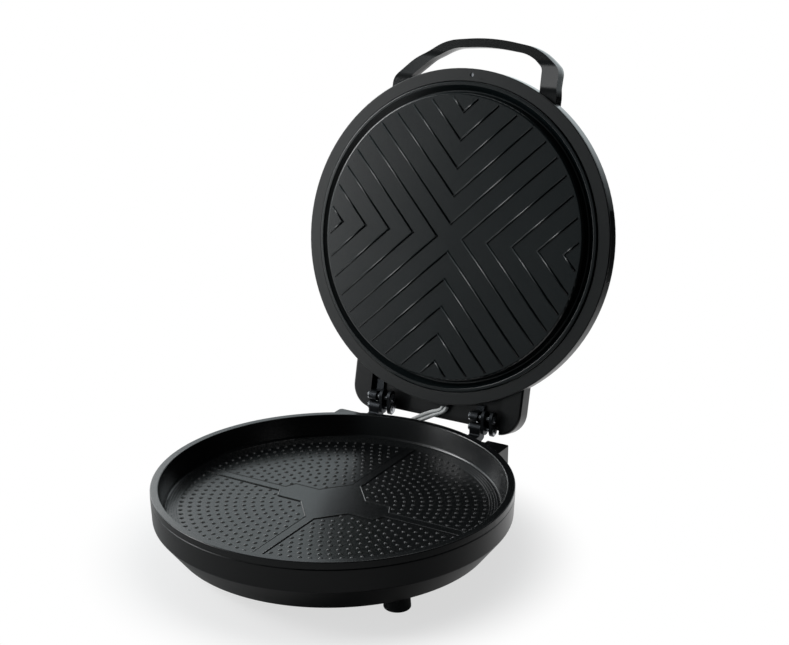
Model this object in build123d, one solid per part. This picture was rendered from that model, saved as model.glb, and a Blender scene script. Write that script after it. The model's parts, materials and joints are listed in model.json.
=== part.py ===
"""Double-sided electric baking pan with its lid standing open.

Sizes are in millimetres. While a piece is made, the pan's axis is x = y = 0 and the table is z = 0.
The front is -Y, the hinge is at +Y. Lid pieces are made in the lid's own frame, lying closed:
its origin is the centre of the ring's flat underside, +Z points out of the lid's top.
Before writing, everything moves along Y so that the origin is below the middle of the whole object.
"""
from build123d import *
import os
from math import cos, radians, sin, sqrt, tan

# Lower pan
PAN_OUTER_R = 162.0
RIM_WIDTH = 7.0
PAN_LEAN = 5.0
PAN_RIM_R = PAN_OUTER_R - RIM_WIDTH
PAN_FLOOR_R = PAN_RIM_R - PAN_LEAN
PAN_DEPTH = 22.0
PAN_SKIRT = 6.3
PAN_WALL = 2.5
PAN_FLOOR = 3.0
PAN_CORNER = 4.0
PAN_EDGE = 0.8
RIM_Z = 65.0

# Smooth centre and seams of the pan's floor
SEAM_HALF = 4.4
SEAM_RISE = 0.5
SEAM_MARGIN = 11.0
SEAM_REACH = PAN_FLOOR_R - SEAM_MARGIN
RIBBON_LENGTH = 55.0
RIBBON_HALF = 14.5
RIBBON_CHAMFER = 5.0
DIAMOND_REACH = 39.0
DIAMOND_HALF = 25.0

# Base housing
HOUSING_R = PAN_OUTER_R
HOUSING_WALL = 2.6
HOUSING_EDGE = 1.2
BAND_TAPER = 1.0
BAND_LOW_R = HOUSING_R - BAND_TAPER
BAND_LOW_Z = 37.6
BAND_ROUND = 3.0
BEVEL_RUN = 18.6
BOTTOM_R = BAND_LOW_R - BEVEL_RUN
BOTTOM_Z = 13.6
BLOCK_HALF = 94.5
BLOCK_REAR = HOUSING_R
BLOCK_CORNER = 3.0
BLOCK_LAP = 11.5
BLOCK_FRONT = sqrt(BOTTOM_R ** 2 - BLOCK_HALF ** 2) - BLOCK_LAP

# Bottom cover, its screws and the feet
COVER_THICK = 2.5
COVER_GAP = 0.4
BOSS_R = 4.5
POST_MARGIN = 6.9
COVER_SCREW_CIRCLE_R = BOTTOM_R - BOSS_R - POST_MARGIN
COVER_SCREW_TURNS = (0, 180, 240, 300)
REAR_SCREW_X = BLOCK_HALF - HOUSING_WALL - BOSS_R - 1.4
REAR_SCREW_Y = BLOCK_REAR - 32.0
BOSS_TOP = 32.0
BOSS_RIB = 2.0
FOOT_R = 11.8
FOOT_TOP_R = 10.8
FOOT_EDGE = 1.5
FOOT_BORE_R = 5.0
FOOT_BORE_DEPTH = 6.0
FOOT_MARGIN = 2.74
FOOT_TURN = 33.19
FRONT_FOOT_X = (BOTTOM_R - FOOT_R - FOOT_MARGIN) * cos(radians(FOOT_TURN))
FRONT_FOOT_Y = -(BOTTOM_R - FOOT_R - FOOT_MARGIN) * sin(radians(FOOT_TURN))
REAR_FOOT_X = BLOCK_HALF - FOOT_R - 12.7
REAR_FOOT_Y = BLOCK_REAR - FOOT_R - 12.2
FOOT_BOSS_TALL = 8.0
VENT_COUNT = 5
VENT_WIDTH = 3.0
VENT_LENGTH = 40.0
VENT_PITCH = 8.0

# Screws
SCREW_R = 1.6
SCREW_HOLE_R = 1.9
SCREW_HEAD_R = 3.4
SCREW_HEAD = 2.2
SCREW_LENGTH = 12.0
SLOT_WIDTH = 0.8
SLOT_DEPTH = 0.9

# Heating of both plates
ELEMENT_R = 4.0
ELEMENT_MARGIN = 50.0
LOWER_ELEMENT_BEND_R = PAN_FLOOR_R - ELEMENT_MARGIN
ELEMENT_END_TURN = 24.0
ELEMENT_ARC = 360 - ELEMENT_END_TURN
TERMINAL_R = 2.0
TERMINAL_LENGTH = 18.0
CLIP_THICK = 0.8
CLIP_WIDTH = 8.0
CLIP_FOOT = 9.0
CLIP_PLAY = 0.3
CLIPS = 4
SHIELD_THICK = 0.6
SHIELD_RIM = 6.0
SHIELD_GAP = 1.5
LOWER_SHIELD_R = COVER_SCREW_CIRCLE_R - BOSS_R - SHIELD_GAP
LOWER_SHIELD_DROP = 13.5
UPPER_SHIELD_RISE = 13.5
STUDS = 6
STUD_R = 4.0
STUD_CIRCLE_R = LOWER_SHIELD_R - STUD_R - 3.0
THERMOSTAT_R = 8.0
THERMOSTAT_TALL = 7.0
THERMOSTAT_FLANGE_R = 10.5
THERMOSTAT_FLANGE = 1.2
FUSE_R = 2.6
FUSE_LENGTH = 26.0
FUSE_X = 45.0
TAB_WIDTH = 6.3
TAB_THICK = 0.8
TAB_LENGTH = 8.0

# Appliance inlet in the rear of the base
INLET_X = 12.0
INLET_Z = 28.0
INLET_WIDTH = 27.0
INLET_TALL = 19.6
INLET_FLANGE_WIDTH = 31.0
INLET_FLANGE_TALL = 23.6
INLET_FLANGE = 2.4
INLET_DEEP = 24.0
INLET_MOUTH_WIDTH = 24.0
INLET_MOUTH_TALL = 16.2
INLET_MOUTH_DEEP = 17.0
INLET_BEVEL = 4.5
PIN_WIDTH = 2.0
PIN_TALL = 4.0
PIN_OUT = 15.0
PIN_TAIL = 8.0
PIN_SIDE = 7.0
PIN_RISE = 2.0
EARTH_DROP = 2.0

# Terminal block and inner wires of the base
TERMINAL_BLOCK_LONG = 40.0
TERMINAL_BLOCK_DEEP = 16.0
TERMINAL_FOOT_GAP = 8.0
BLOCK_TERMINAL_X = TERMINAL_FOOT_GAP + TERMINAL_BLOCK_LONG / 2 - REAR_FOOT_X
BLOCK_TERMINAL_Y = BLOCK_REAR - 21.0
TERMINAL_BLOCK_TALL = 13.0
TERMINAL_WAYS = 4
TERMINAL_SCREW_R = 2.4
WIRE_R = 1.3
WIRE_BEND = 1.8
SUPPLY_RISE = 9.5
HEATER_RISE = 3.5
LID_WIRE_Z = 13.5

# Hinge: where the pins are with the lid open, and how far each turns to close
PIN_SETBACK = 16.5
LOWER_PIN_Y = BLOCK_REAR + PIN_SETBACK
PIN_DROP = 2.5
LOWER_PIN_Z = RIM_Z - PIN_DROP
PIN_SPACING = 11.0
LINK_SWING = 90.0
LID_SWING = 13.0
CLOSED_GAP = 0.4
HINGE_PIN_R = 2.5
PIN_RUNNING_GAP = 0.05
PIN_HEAD_R = 4.0
PIN_HEAD = 2.0
KNUCKLE_R = 4.8
KNUCKLE_WIDE = 11.5
KNUCKLE_FOOT = 3.0
KNUCKLE_FOOT_LOW = LOWER_PIN_Z - 31.5
KNUCKLE_FOOT_HIGH = RIM_Z - PAN_SKIRT - 1.7
KNUCKLE_ARM_LOW = LOWER_PIN_Z - 14.5
KNUCKLE_ARM_HIGH = LOWER_PIN_Z - 6.5
EAR_WIDE = 7.7
LEFT_UNIT_X = -68.7
RIGHT_UNIT_X = 45.2
LINK_SIDE_GAP = 1.2
LINK_WIDE = 11.8
LINK_PLATE = 3.0
LINK_HALF = 5.8
LINK_TOP = 13.0
LINK_WEB = 2.0
LINK_WEB_BACK = 0.5
CLIP_RING_R = 4.6
CLIP_RING = 0.8
CLIP_RING_GAP = 0.2
PIN_TIP = 0.8
NOTCH_SIDE = 1.6
NOTCH_DEEP = 5.0
NOTCH_Z = LOWER_PIN_Z - LINK_HALF - 2.0

# Lid
LID_OVERHANG = 1.3
LID_R = PAN_OUTER_R + LID_OVERHANG
FRAME_WIDTH = 12.1
FRAME_INNER_R = LID_R - FRAME_WIDTH
FRAME_THICK = 3.0
FRAME_LAP = 3.8
FRAME_LEDGE_R = FRAME_INNER_R - FRAME_LAP
FRAME_LEDGE = 2.2
FRAME_EDGE = 0.8
LID_WALL_TOP = 14.5
LID_WALL_ROUND = 3.0
DOME_RUN = 20.3
LID_TOP_R = LID_R - DOME_RUN
LID_TOP = 41.0
LID_TOP_ROUND = 9.0
SHELL = 2.6
SEAM_Y = 20.0
SEAM_GAP = 0.15
LID_BLOCK_HALF = 93.5
LID_BLOCK_REACH = 19.2
LID_BLOCK_END = LID_R + LID_BLOCK_REACH
LID_BLOCK_FACE = 2.9
LID_BLOCK_TOP = 20.5
LID_BLOCK_CORNER = 23.0
LID_BLOCK_EDGE = 2.0
LID_BLOCK_START = sqrt(LID_TOP_R ** 2 - LID_BLOCK_HALF ** 2) + 1.8
LID_BLOCK_MIDDLE_END = LID_BLOCK_END - 3.2
RECESS_HALF = 73.0
RECESS_TOP = 10.0
RECESS_START = LID_R - 17.3
SCREW_RECESS_Y = -(LID_R - FRAME_WIDTH / 2)
SCREW_RECESS_R = 1.9
SCREW_RECESS_DEEP = 2.0
NUB_X = 9.6
NUB_Y = -(FRAME_INNER_R + 3.1)
NUB_R = 1.2
NUB_TALL = 0.25

# Upper plate
PLATE_EDGE_GAP = 0.5
PLATE_BEAD_OUT = 1.6
PLATE_BEAD_INNER_R = FRAME_INNER_R - 4.0
GUTTER_OUTER_R = FRAME_INNER_R - 9.0
GUTTER_INNER_R = GUTTER_OUTER_R - 1.8
GUTTER_DEEP = 3.0
PLATE_FLOOR_R = GUTTER_INNER_R - 1.4
PLATE_PROUD = 7.7
PLATE_THICK = 3.0
PLATE_STEP_ROUND = 1.8
RIB_COUNT = 5
RIB_END_R = PLATE_FLOOR_R - 3.8
RIB_PITCH = 0.897 * RIB_END_R / (RIB_COUNT - 0.5)
UPPER_ELEMENT_BEND_R = PLATE_FLOOR_R - 44.0
UPPER_SHIELD_R = PLATE_FLOOR_R - 7.0
RIB_WIDE = 2.1
RIB_TALL = 1.0
RIB_TOP_WIDE = 0.5

# Handle
HANDLE_ROOT_X = 88.5
HANDLE_ROOT_Y = LID_R - 35.3
HANDLE_REACH = LID_R + 33.3
HANDLE_GRIP_THICK = 9.4
HANDLE_ARM_WIDE = 18.0
HANDLE_SPLIT = 0.66
HANDLE_BAND = 13.0
HANDLE_ROOT_LOW = 4.5
HANDLE_GRIP_LOW = 33.0
HANDLE_RISE_START = HANDLE_REACH - 47.0
HANDLE_RISE_END = HANDLE_REACH - 20.0
HANDLE_BEND = 14.0
HANDLE_SCREW_LONG = 9.0
HANDLE_SCREW_X = HANDLE_ROOT_X - HANDLE_ARM_WIDE / 2
HANDLE_SCREW_Z = 9.8
HANDLE_SCREW_BOSS = 3.6
HANDLE_SCREW_BOSS_DEEP = 3.0
HANDLE_SCREW_SEAT = 0.4

# Indicator lenses on the lid's glossy cover
LENS_R = 3.2
LENS_RISE = 0.8
LENS_DEEP = 4.0
LENS_FLANGE_R = 4.4
LENS_X = 13.0
LENS_Y = -(LID_TOP_R - 31.0)
LENS_GAP = 0.1

# Lead between base and lid: two braided sleeves side by side
SLEEVE_R = 2.0
LEAD_SPREAD = 2.15
LEAD_TILT = 1.1
LEAD_EXIT_X = -30.0
LEAD_EXIT_Z = 47.0
LEAD_ENTRY_X = 10.0
LEAD_ENTRY_Z = 7.0
GROMMET_LONG = 6.5
GROMMET_HALF = 4.0
GROMMET_OUT = 2.5
LID_GROMMET_LONG = 5.4
LID_GROMMET_HALF = 2.9

# Worked out from the sizes above
FLOOR_Z = RIM_Z - PAN_DEPTH
PAN_BACK_Z = FLOOR_Z - PAN_FLOOR
HOUSING_TOP = RIM_Z - PAN_SKIRT
COVER_TOP = BOTTOM_Z + COVER_THICK
LID_OPEN = LINK_SWING + LID_SWING
CLOSED_PIN_Y = LOWER_PIN_Y - PIN_SPACING * sin(radians(LINK_SWING))
CLOSED_PIN_Z = LOWER_PIN_Z + PIN_SPACING * cos(radians(LINK_SWING))
EAR_Y = CLOSED_PIN_Y
EAR_Z = CLOSED_PIN_Z - RIM_Z - CLOSED_GAP
UPPER_PIN_Z = LOWER_PIN_Z + PIN_SPACING
LID_Y = LOWER_PIN_Y - EAR_Y * cos(radians(LID_OPEN)) - EAR_Z * sin(radians(LID_OPEN))
LID_Z = UPPER_PIN_Z + EAR_Y * sin(radians(LID_OPEN)) - EAR_Z * cos(radians(LID_OPEN))
LID_REST = Pos(0, LID_Y, LID_Z) * Rot(-LID_OPEN, 0, 0)
PLATE_BACK = PLATE_THICK - PLATE_PROUD
UNIT_LONG = KNUCKLE_WIDE + LINK_SIDE_GAP + LINK_WIDE
HINGE_UNITS = {"left": LEFT_UNIT_X, "right": RIGHT_UNIT_X}


def outline(*corners):
    """A closed flat face through corners given as (x, y) or (x, y, rounding)."""
    count = len(corners)
    edges = []
    ends = []
    for i, corner in enumerate(corners):
        here = Vector(corner[0], corner[1])
        back = (Vector(*corners[i - 1][:2]) - here).normalized()
        ahead = (Vector(*corners[(i + 1) % count][:2]) - here).normalized()
        radius = corner[2] if len(corner) > 2 else 0
        if radius == 0:
            ends.append((here, here))
            continue
        half = radians(back.get_angle(ahead) / 2)
        start = here + back * (radius / tan(half))
        stop = here + ahead * (radius / tan(half))
        centre = here + (back + ahead).normalized() * (radius / sin(half))
        middle = centre + (here - centre).normalized() * radius
        edges.append(ThreePointArc(start, middle, stop))
        ends.append((start, stop))
    for i in range(count):
        leave = ends[i][1]
        arrive = ends[(i + 1) % count][0]
        if (arrive - leave).length > 1e-6:
            edges.append(Line(leave, arrive))
    return make_face(edges)


def turned(*corners):
    """Revolves an outline of (radius, height) corners about the vertical axis."""
    return revolve(Plane.XZ * outline(*corners), axis=Axis.Z)


def block(low, high):
    """A box from its lowest corner to its highest corner."""
    size = [b - a for a, b in zip(low, high)]
    middle = [(a + b) / 2 for a, b in zip(low, high)]
    return Pos(*middle) * Box(*size)


def across(face, start, stop):
    """Extrudes a face drawn as (y, z) along X from start to stop."""
    return extrude(Plane.YZ.offset(start) * face, amount=stop - start)


def rod(start, stop, radius):
    """A round bar from one point to another."""
    a = Vector(*start)
    b = Vector(*stop)
    plane = Plane(origin=a, z_dir=b - a)
    return extrude(plane * Circle(radius), amount=(b - a).length)


def polar(circle, degrees_round, z=0.0):
    """A point on a level circle about the pan's axis."""
    angle = radians(degrees_round)
    return (circle * cos(angle), circle * sin(angle), z)


def screw(seat, direction, length=SCREW_LENGTH):
    """A pan-head screw: the head stands on the seat, the shank runs along direction."""
    plane = Plane(origin=seat, z_dir=direction)
    head = Pos(0, 0, -SCREW_HEAD / 2) * Cylinder(SCREW_HEAD_R, SCREW_HEAD)
    head = fillet(head.edges().sort_by(Axis.Z)[0], SCREW_HEAD * 0.4)
    shank = Pos(0, 0, length / 2) * Cylinder(SCREW_R, length)
    slot = Pos(0, 0, SLOT_DEPTH / 2 - SCREW_HEAD) * Box(SCREW_HEAD_R * 1.1, SLOT_WIDTH, SLOT_DEPTH)
    return plane * (head + shank - slot - Rot(0, 0, 90) * slot)


def wire(points, radius, bend):
    """A round lead along straight runs joined by arcs of one bend radius."""
    path = FilletPolyline(*points, radius=bend)
    section = Plane(origin=path @ 0, z_dir=path % 0) * Circle(radius)
    return sweep(section, path=path)


# Base

def lower_pan():
    """Cast pan: sloping wall, flat rim, outer skirt, studs below and the smooth raised seams."""
    pan = turned(
        (0, FLOOR_Z),
        (PAN_FLOOR_R, FLOOR_Z, PAN_CORNER),
        (PAN_RIM_R, RIM_Z, PAN_EDGE),
        (PAN_OUTER_R, RIM_Z, PAN_EDGE),
        (PAN_OUTER_R, HOUSING_TOP),
        (PAN_OUTER_R - PAN_WALL, HOUSING_TOP),
        (PAN_OUTER_R - PAN_WALL, RIM_Z - PAN_WALL),
        (PAN_RIM_R + PAN_WALL, RIM_Z - PAN_WALL),
        (PAN_FLOOR_R + PAN_WALL, PAN_BACK_Z, PAN_CORNER),
        (0, PAN_BACK_Z),
    )
    raised = Rectangle(2 * SEAM_REACH, 2 * SEAM_HALF)
    raised += Rectangle(2 * SEAM_HALF, 2 * SEAM_REACH)
    inner = RIBBON_LENGTH - RIBBON_CHAMFER
    raised += make_face(Polyline(
        (-RIBBON_LENGTH, SEAM_HALF), (-inner, RIBBON_HALF), (inner, RIBBON_HALF), (RIBBON_LENGTH, SEAM_HALF),
        (RIBBON_LENGTH, -SEAM_HALF), (inner, -RIBBON_HALF), (-inner, -RIBBON_HALF), (-RIBBON_LENGTH, -SEAM_HALF),
        close=True))
    raised += make_face(Polyline(
        (-DIAMOND_HALF, RIBBON_HALF), (-SEAM_HALF, DIAMOND_REACH), (SEAM_HALF, DIAMOND_REACH),
        (DIAMOND_HALF, RIBBON_HALF), (DIAMOND_HALF, -RIBBON_HALF), (SEAM_HALF, -DIAMOND_REACH),
        (-SEAM_HALF, -DIAMOND_REACH), (-DIAMOND_HALF, -RIBBON_HALF), close=True))
    pan += extrude(Pos(0, 0, FLOOR_Z - SEAM_RISE) * raised, amount=2 * SEAM_RISE)
    shield_z = PAN_BACK_Z - LOWER_SHIELD_DROP
    for i in range(STUDS):
        foot = polar(STUD_CIRCLE_R, i * 360 / STUDS, shield_z)
        top = polar(STUD_CIRCLE_R, i * 360 / STUDS, PAN_BACK_Z)
        pan += rod(foot, top, STUD_R)
        pan -= rod(foot, (foot[0], foot[1], shield_z + SCREW_LENGTH - SHIELD_THICK), SCREW_R)
    return pan


def base_outer():
    """The base casing's outside: the round band and bevel with the square rear block."""
    round_part = turned(
        (0, BOTTOM_Z),
        (BOTTOM_R, BOTTOM_Z, BAND_ROUND),
        (BAND_LOW_R, BAND_LOW_Z, BAND_ROUND),
        (HOUSING_R, HOUSING_TOP, HOUSING_EDGE),
        (0, HOUSING_TOP),
    )
    return round_part + extrude(rear_block_face(0, BOTTOM_Z), amount=HOUSING_TOP - BOTTOM_Z)


def rear_block_face(inset, z):
    """The rear block seen from above, drawn in by inset."""
    half = BLOCK_HALF - inset
    rear = BLOCK_REAR - inset
    return Pos(0, 0, z) * outline(
        (-half, BLOCK_FRONT), (half, BLOCK_FRONT), (half, rear, BLOCK_CORNER), (-half, rear, BLOCK_CORNER))


def link_notch(unit_x, grow):
    """The space in the rear block that a hinge link lies in when the lid is closed."""
    start = unit_x + KNUCKLE_WIDE + LINK_SIDE_GAP - NOTCH_SIDE
    stop = start + LINK_WIDE + 2 * NOTCH_SIDE
    return block(
        (start - grow, BLOCK_REAR - NOTCH_DEEP - grow, NOTCH_Z - grow),
        (stop + grow, BLOCK_REAR + grow, HOUSING_TOP + 1),
    )


def base_housing():
    """Plastic casing of the base, open above for the pan and below for its cover."""
    outer = base_outer()
    inside = turned(
        (0, BOTTOM_Z - 1),
        (BOTTOM_R - HOUSING_WALL, BOTTOM_Z - 1),
        (BOTTOM_R - HOUSING_WALL, BOTTOM_Z),
        (BAND_LOW_R - HOUSING_WALL, BAND_LOW_Z),
        (HOUSING_R - HOUSING_WALL, HOUSING_TOP + 1),
        (0, HOUSING_TOP + 1),
    )
    roof = HOUSING_TOP - HOUSING_WALL
    room = extrude(rear_block_face(HOUSING_WALL, BOTTOM_Z - 1), amount=roof - BOTTOM_Z + 1)
    for x in HINGE_UNITS.values():
        room -= link_notch(x, HOUSING_WALL)
    shell = outer - inside - room
    for x in HINGE_UNITS.values():
        shell -= link_notch(x, 0)
    for x, y, turn in cover_screw_places():
        post = rod((x, y, COVER_TOP), (x, y, BOSS_TOP), BOSS_R)
        rib = block((0, -BOSS_RIB / 2, COVER_TOP), (HOUSING_R - COVER_SCREW_CIRCLE_R, BOSS_RIB / 2, BOSS_TOP))
        shell += (post + Pos(x, y, 0) * Rot(0, 0, turn) * rib) & outer
        shell -= rod((x, y, COVER_TOP), (x, y, COVER_TOP + SCREW_LENGTH), SCREW_R)
    for x in HINGE_UNITS.values():
        for seat in knuckle_screws(x):
            shell -= rod(seat, (seat[0], seat[1] - SCREW_LENGTH, seat[2]), SCREW_R)
    shell -= block((INLET_X - INLET_WIDTH / 2, BLOCK_REAR - HOUSING_WALL - 1, INLET_Z - INLET_TALL / 2),
                   (INLET_X + INLET_WIDTH / 2, BLOCK_REAR + 1, INLET_Z + INLET_TALL / 2))
    shell -= grommet_body(BLOCK_REAR - HOUSING_WALL, BLOCK_REAR, 0)
    return shell


def foot_places():
    """The feet, front pair wide apart and rear pair under the hinge block."""
    return {
        "front_left": (-FRONT_FOOT_X, FRONT_FOOT_Y),
        "front_right": (FRONT_FOOT_X, FRONT_FOOT_Y),
        "rear_left": (-REAR_FOOT_X, REAR_FOOT_Y),
        "rear_right": (REAR_FOOT_X, REAR_FOOT_Y),
    }


def cover_screw_places():
    """The bottom cover's screws, each with the direction of its post's rib."""
    places = [(*polar(COVER_SCREW_CIRCLE_R, turn)[:2], turn) for turn in COVER_SCREW_TURNS]
    return places + [(-REAR_SCREW_X, REAR_SCREW_Y, 180), (REAR_SCREW_X, REAR_SCREW_Y, 0)]


def base_bottom_cover():
    """Flat cover that closes the base from below, with vent slots and foot bosses."""
    inset = HOUSING_WALL + COVER_GAP
    plate = Pos(0, 0, BOTTOM_Z) * Circle(BOTTOM_R - inset) + rear_block_face(inset, BOTTOM_Z)
    cover = extrude(plate, amount=COVER_THICK)
    for x, y, _ in cover_screw_places():
        cover -= rod((x, y, BOTTOM_Z), (x, y, COVER_TOP), SCREW_HOLE_R)
    for x, y in foot_places().values():
        cover += rod((x, y, COVER_TOP), (x, y, COVER_TOP + FOOT_BOSS_TALL), BOSS_R)
        cover -= rod((x, y, BOTTOM_Z), (x, y, COVER_TOP + FOOT_BOSS_TALL), SCREW_R)
    for i in range(VENT_COUNT):
        y = (i - (VENT_COUNT - 1) / 2) * VENT_PITCH
        cover -= Pos(0, y, BOTTOM_Z) * extrude(SlotOverall(VENT_LENGTH, VENT_WIDTH), amount=COVER_THICK)
    return cover


def foot(x, y):
    """Rubber foot, a little wider at the table, with a recess for its screw."""
    body = turned((0, 0), (FOOT_R, 0, FOOT_EDGE), (FOOT_TOP_R, BOTTOM_Z), (0, BOTTOM_Z))
    body -= rod((0, 0, 0), (0, 0, FOOT_BORE_DEPTH), FOOT_BORE_R)
    body -= rod((0, 0, 0), (0, 0, BOTTOM_Z), SCREW_HOLE_R)
    return Pos(x, y, 0) * body


def foot_screws():
    """A screw up through each foot into the bottom cover."""
    long = BOTTOM_Z - FOOT_BORE_DEPTH + SCREW_LENGTH - COVER_THICK
    return [screw((x, y, FOOT_BORE_DEPTH), (0, 0, 1), long) for x, y in foot_places().values()]


def cover_screws():
    """Screws that hold the bottom cover."""
    return [screw((x, y, BOTTOM_Z), (0, 0, 1)) for x, y, _ in cover_screw_places()]


# Heating, the same kind on both plates

def element(circle, back_z, side):
    """Tubular heater lying on a plate's back, with its cold ends turned away at the rear.

    side is -1 where the plate's back faces down and +1 where it faces up."""
    centre_z = back_z + side * ELEMENT_R
    gap = ELEMENT_END_TURN / 2
    ring = revolve(Plane.XZ * Pos(circle, centre_z) * Circle(ELEMENT_R), axis=Axis.Z, revolution_arc=ELEMENT_ARC)
    ring = Rot(0, 0, 90 + gap) * ring
    for turn in (90 - gap, 90 + gap):
        end = polar(circle, turn, centre_z)
        tip = (end[0], end[1], centre_z + side * TERMINAL_LENGTH)
        stub = (end[0], end[1], centre_z + side * ELEMENT_R)
        ring += Pos(*end) * Sphere(ELEMENT_R)
        ring += rod(end, stub, ELEMENT_R)
        ring += rod(stub, tip, TERMINAL_R)
    return ring


def element_clips(circle, back_z, side):
    """Steel straps that hold the heater against the plate."""
    reach = ELEMENT_R + CLIP_PLAY + CLIP_THICK
    top = back_z + side * 2 * ELEMENT_R
    straps = []
    for i in range(CLIPS):
        turn = 45 + i * 360 / CLIPS
        low, high = sorted((top, top + side * CLIP_THICK))
        strap = block((circle - reach, -CLIP_WIDTH / 2, low), (circle + reach, CLIP_WIDTH / 2, high))
        for edge, outward in ((circle - reach, -1), (circle + reach, 1)):
            near, far = sorted((edge, edge - outward * CLIP_THICK))
            low, high = sorted((back_z, top))
            strap += block((near, -CLIP_WIDTH / 2, low), (far, CLIP_WIDTH / 2, high))
            near, far = sorted((edge, edge + outward * CLIP_FOOT))
            low, high = sorted((back_z, back_z + side * CLIP_THICK))
            strap += block((near, -CLIP_WIDTH / 2, low), (far, CLIP_WIDTH / 2, high))
        straps.append(Rot(0, 0, turn) * strap)
    return straps


def heat_shield(radius, z, side):
    """Thin bright steel tray behind a heater, its rim turned towards the plate."""
    low, high = sorted((z, z + side * SHIELD_THICK))
    tray = rod((0, 0, low), (0, 0, high), radius)
    low, high = sorted((z + side * SHIELD_THICK, z - side * SHIELD_RIM))
    tray += rod((0, 0, low), (0, 0, high), radius) - rod((0, 0, low), (0, 0, high), radius - SHIELD_THICK)
    return tray


def shield_holes(tray, circle, z, side):
    """Cuts the screw holes and the two openings for the heater's ends."""
    for i in range(STUDS):
        tray -= Pos(*polar(STUD_CIRCLE_R, i * 360 / STUDS, z)) * Cylinder(SCREW_HOLE_R, 4 * SHIELD_THICK)
    gap = ELEMENT_END_TURN / 2
    for turn in (90 - gap, 90 + gap):
        tray -= Pos(*polar(circle, turn, z)) * Cylinder(ELEMENT_R + 1, 4 * SHIELD_THICK)
    return tray


def thermostat(back_z, side):
    """Bimetal thermostat pressed on the middle of a plate's back."""
    flange_top = back_z + side * THERMOSTAT_FLANGE
    body_top = flange_top + side * THERMOSTAT_TALL
    body = rod((0, 0, back_z), (0, 0, flange_top), THERMOSTAT_FLANGE_R)
    body += rod((0, 0, flange_top), (0, 0, body_top), THERMOSTAT_R)
    for x in (-THERMOSTAT_R / 2, THERMOSTAT_R / 2):
        low, high = sorted((body_top - side * TAB_THICK, body_top + side * (TAB_LENGTH - TAB_WIDTH)))
        body += block((x - TAB_THICK / 2, -TAB_WIDTH / 2, low), (x + TAB_THICK / 2, TAB_WIDTH / 2, high))
    return body


def thermal_fuse(back_z, side):
    """Thermal fuse in its sleeve, lying on a plate's back."""
    z = back_z + side * FUSE_R
    return rod((FUSE_X, -FUSE_LENGTH / 2, z), (FUSE_X, FUSE_LENGTH / 2, z), FUSE_R)


def fuse_clip(back_z, side):
    """Small strap over the thermal fuse."""
    reach = FUSE_R + CLIP_THICK
    top = back_z + side * 2 * FUSE_R
    low, high = sorted((top, top + side * CLIP_THICK))
    strap = block((FUSE_X - reach, -CLIP_WIDTH / 2, low), (FUSE_X + reach, CLIP_WIDTH / 2, high))
    for outward in (-1, 1):
        near, far = sorted((FUSE_X + outward * FUSE_R, FUSE_X + outward * reach))
        low, high = sorted((back_z, top))
        strap += block((near, -CLIP_WIDTH / 2, low), (far, CLIP_WIDTH / 2, high))
        near, far = sorted((FUSE_X + outward * reach, FUSE_X + outward * (reach + CLIP_FOOT)))
        low, high = sorted((back_z, back_z + side * CLIP_THICK))
        strap += block((near, -CLIP_WIDTH / 2, low), (far, CLIP_WIDTH / 2, high))
    return strap


def stud_screws(z, side):
    """Screws that hold a heat shield on its plate's studs."""
    seats = [polar(STUD_CIRCLE_R, i * 360 / STUDS, z) for i in range(STUDS)]
    return [screw(seat, (0, 0, side)) for seat in seats]


# Inlet and wiring of the base

def inlet_socket():
    """Appliance inlet: a flange on the rear wall, a body inside and a bevelled mouth."""
    flange = block(
        (-INLET_FLANGE_WIDTH / 2, BLOCK_REAR, -INLET_FLANGE_TALL / 2),
        (INLET_FLANGE_WIDTH / 2, BLOCK_REAR + INLET_FLANGE, INLET_FLANGE_TALL / 2))
    flange = fillet(flange.edges().filter_by(Axis.Y), 2.0)
    body = block(
        (-INLET_WIDTH / 2, BLOCK_REAR + INLET_FLANGE - INLET_DEEP, -INLET_TALL / 2),
        (INLET_WIDTH / 2, BLOCK_REAR + INLET_FLANGE, INLET_TALL / 2))
    half = INLET_MOUTH_WIDTH / 2
    tall = INLET_MOUTH_TALL / 2
    mouth = outline((-half, -tall, 0.8), (half, -tall, 0.8), (half, tall - INLET_BEVEL),
                    (half - INLET_BEVEL, tall), (INLET_BEVEL - half, tall), (-half, tall - INLET_BEVEL))
    start = BLOCK_REAR + INLET_FLANGE
    hollow = extrude(Plane(origin=(0, start, 0), x_dir=(-1, 0, 0), z_dir=(0, 1, 0)) * mouth, amount=-INLET_MOUTH_DEEP)
    socket = flange + body - hollow
    for x, z in inlet_pin_places():
        socket -= block((x - PIN_WIDTH / 2, start - INLET_DEEP, z - PIN_TALL / 2),
                        (x + PIN_WIDTH / 2, start - INLET_MOUTH_DEEP, z + PIN_TALL / 2))
    return Pos(INLET_X, 0, INLET_Z) * socket


def inlet_pin_places():
    """The three pins, earth in the middle and a little lower."""
    return [(-PIN_SIDE, PIN_RISE), (PIN_SIDE, PIN_RISE), (0, -EARTH_DROP)]


def inlet_pins():
    """Flat pins that stand in the inlet's mouth, with solder tails behind."""
    start = BLOCK_REAR + INLET_FLANGE - INLET_DEEP - PIN_TAIL
    stop = BLOCK_REAR + INLET_FLANGE - INLET_MOUTH_DEEP + PIN_OUT
    pins = []
    for x, z in inlet_pin_places():
        pin = block((x - PIN_WIDTH / 2, start, z - PIN_TALL / 2), (x + PIN_WIDTH / 2, stop, z + PIN_TALL / 2))
        pins.append(Pos(INLET_X, 0, INLET_Z) * pin)
    return pins


def terminal_places():
    """The ways of the terminal block, along X."""
    pitch = TERMINAL_BLOCK_LONG / TERMINAL_WAYS
    return [BLOCK_TERMINAL_X + (i - (TERMINAL_WAYS - 1) / 2) * pitch for i in range(TERMINAL_WAYS)]


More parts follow.
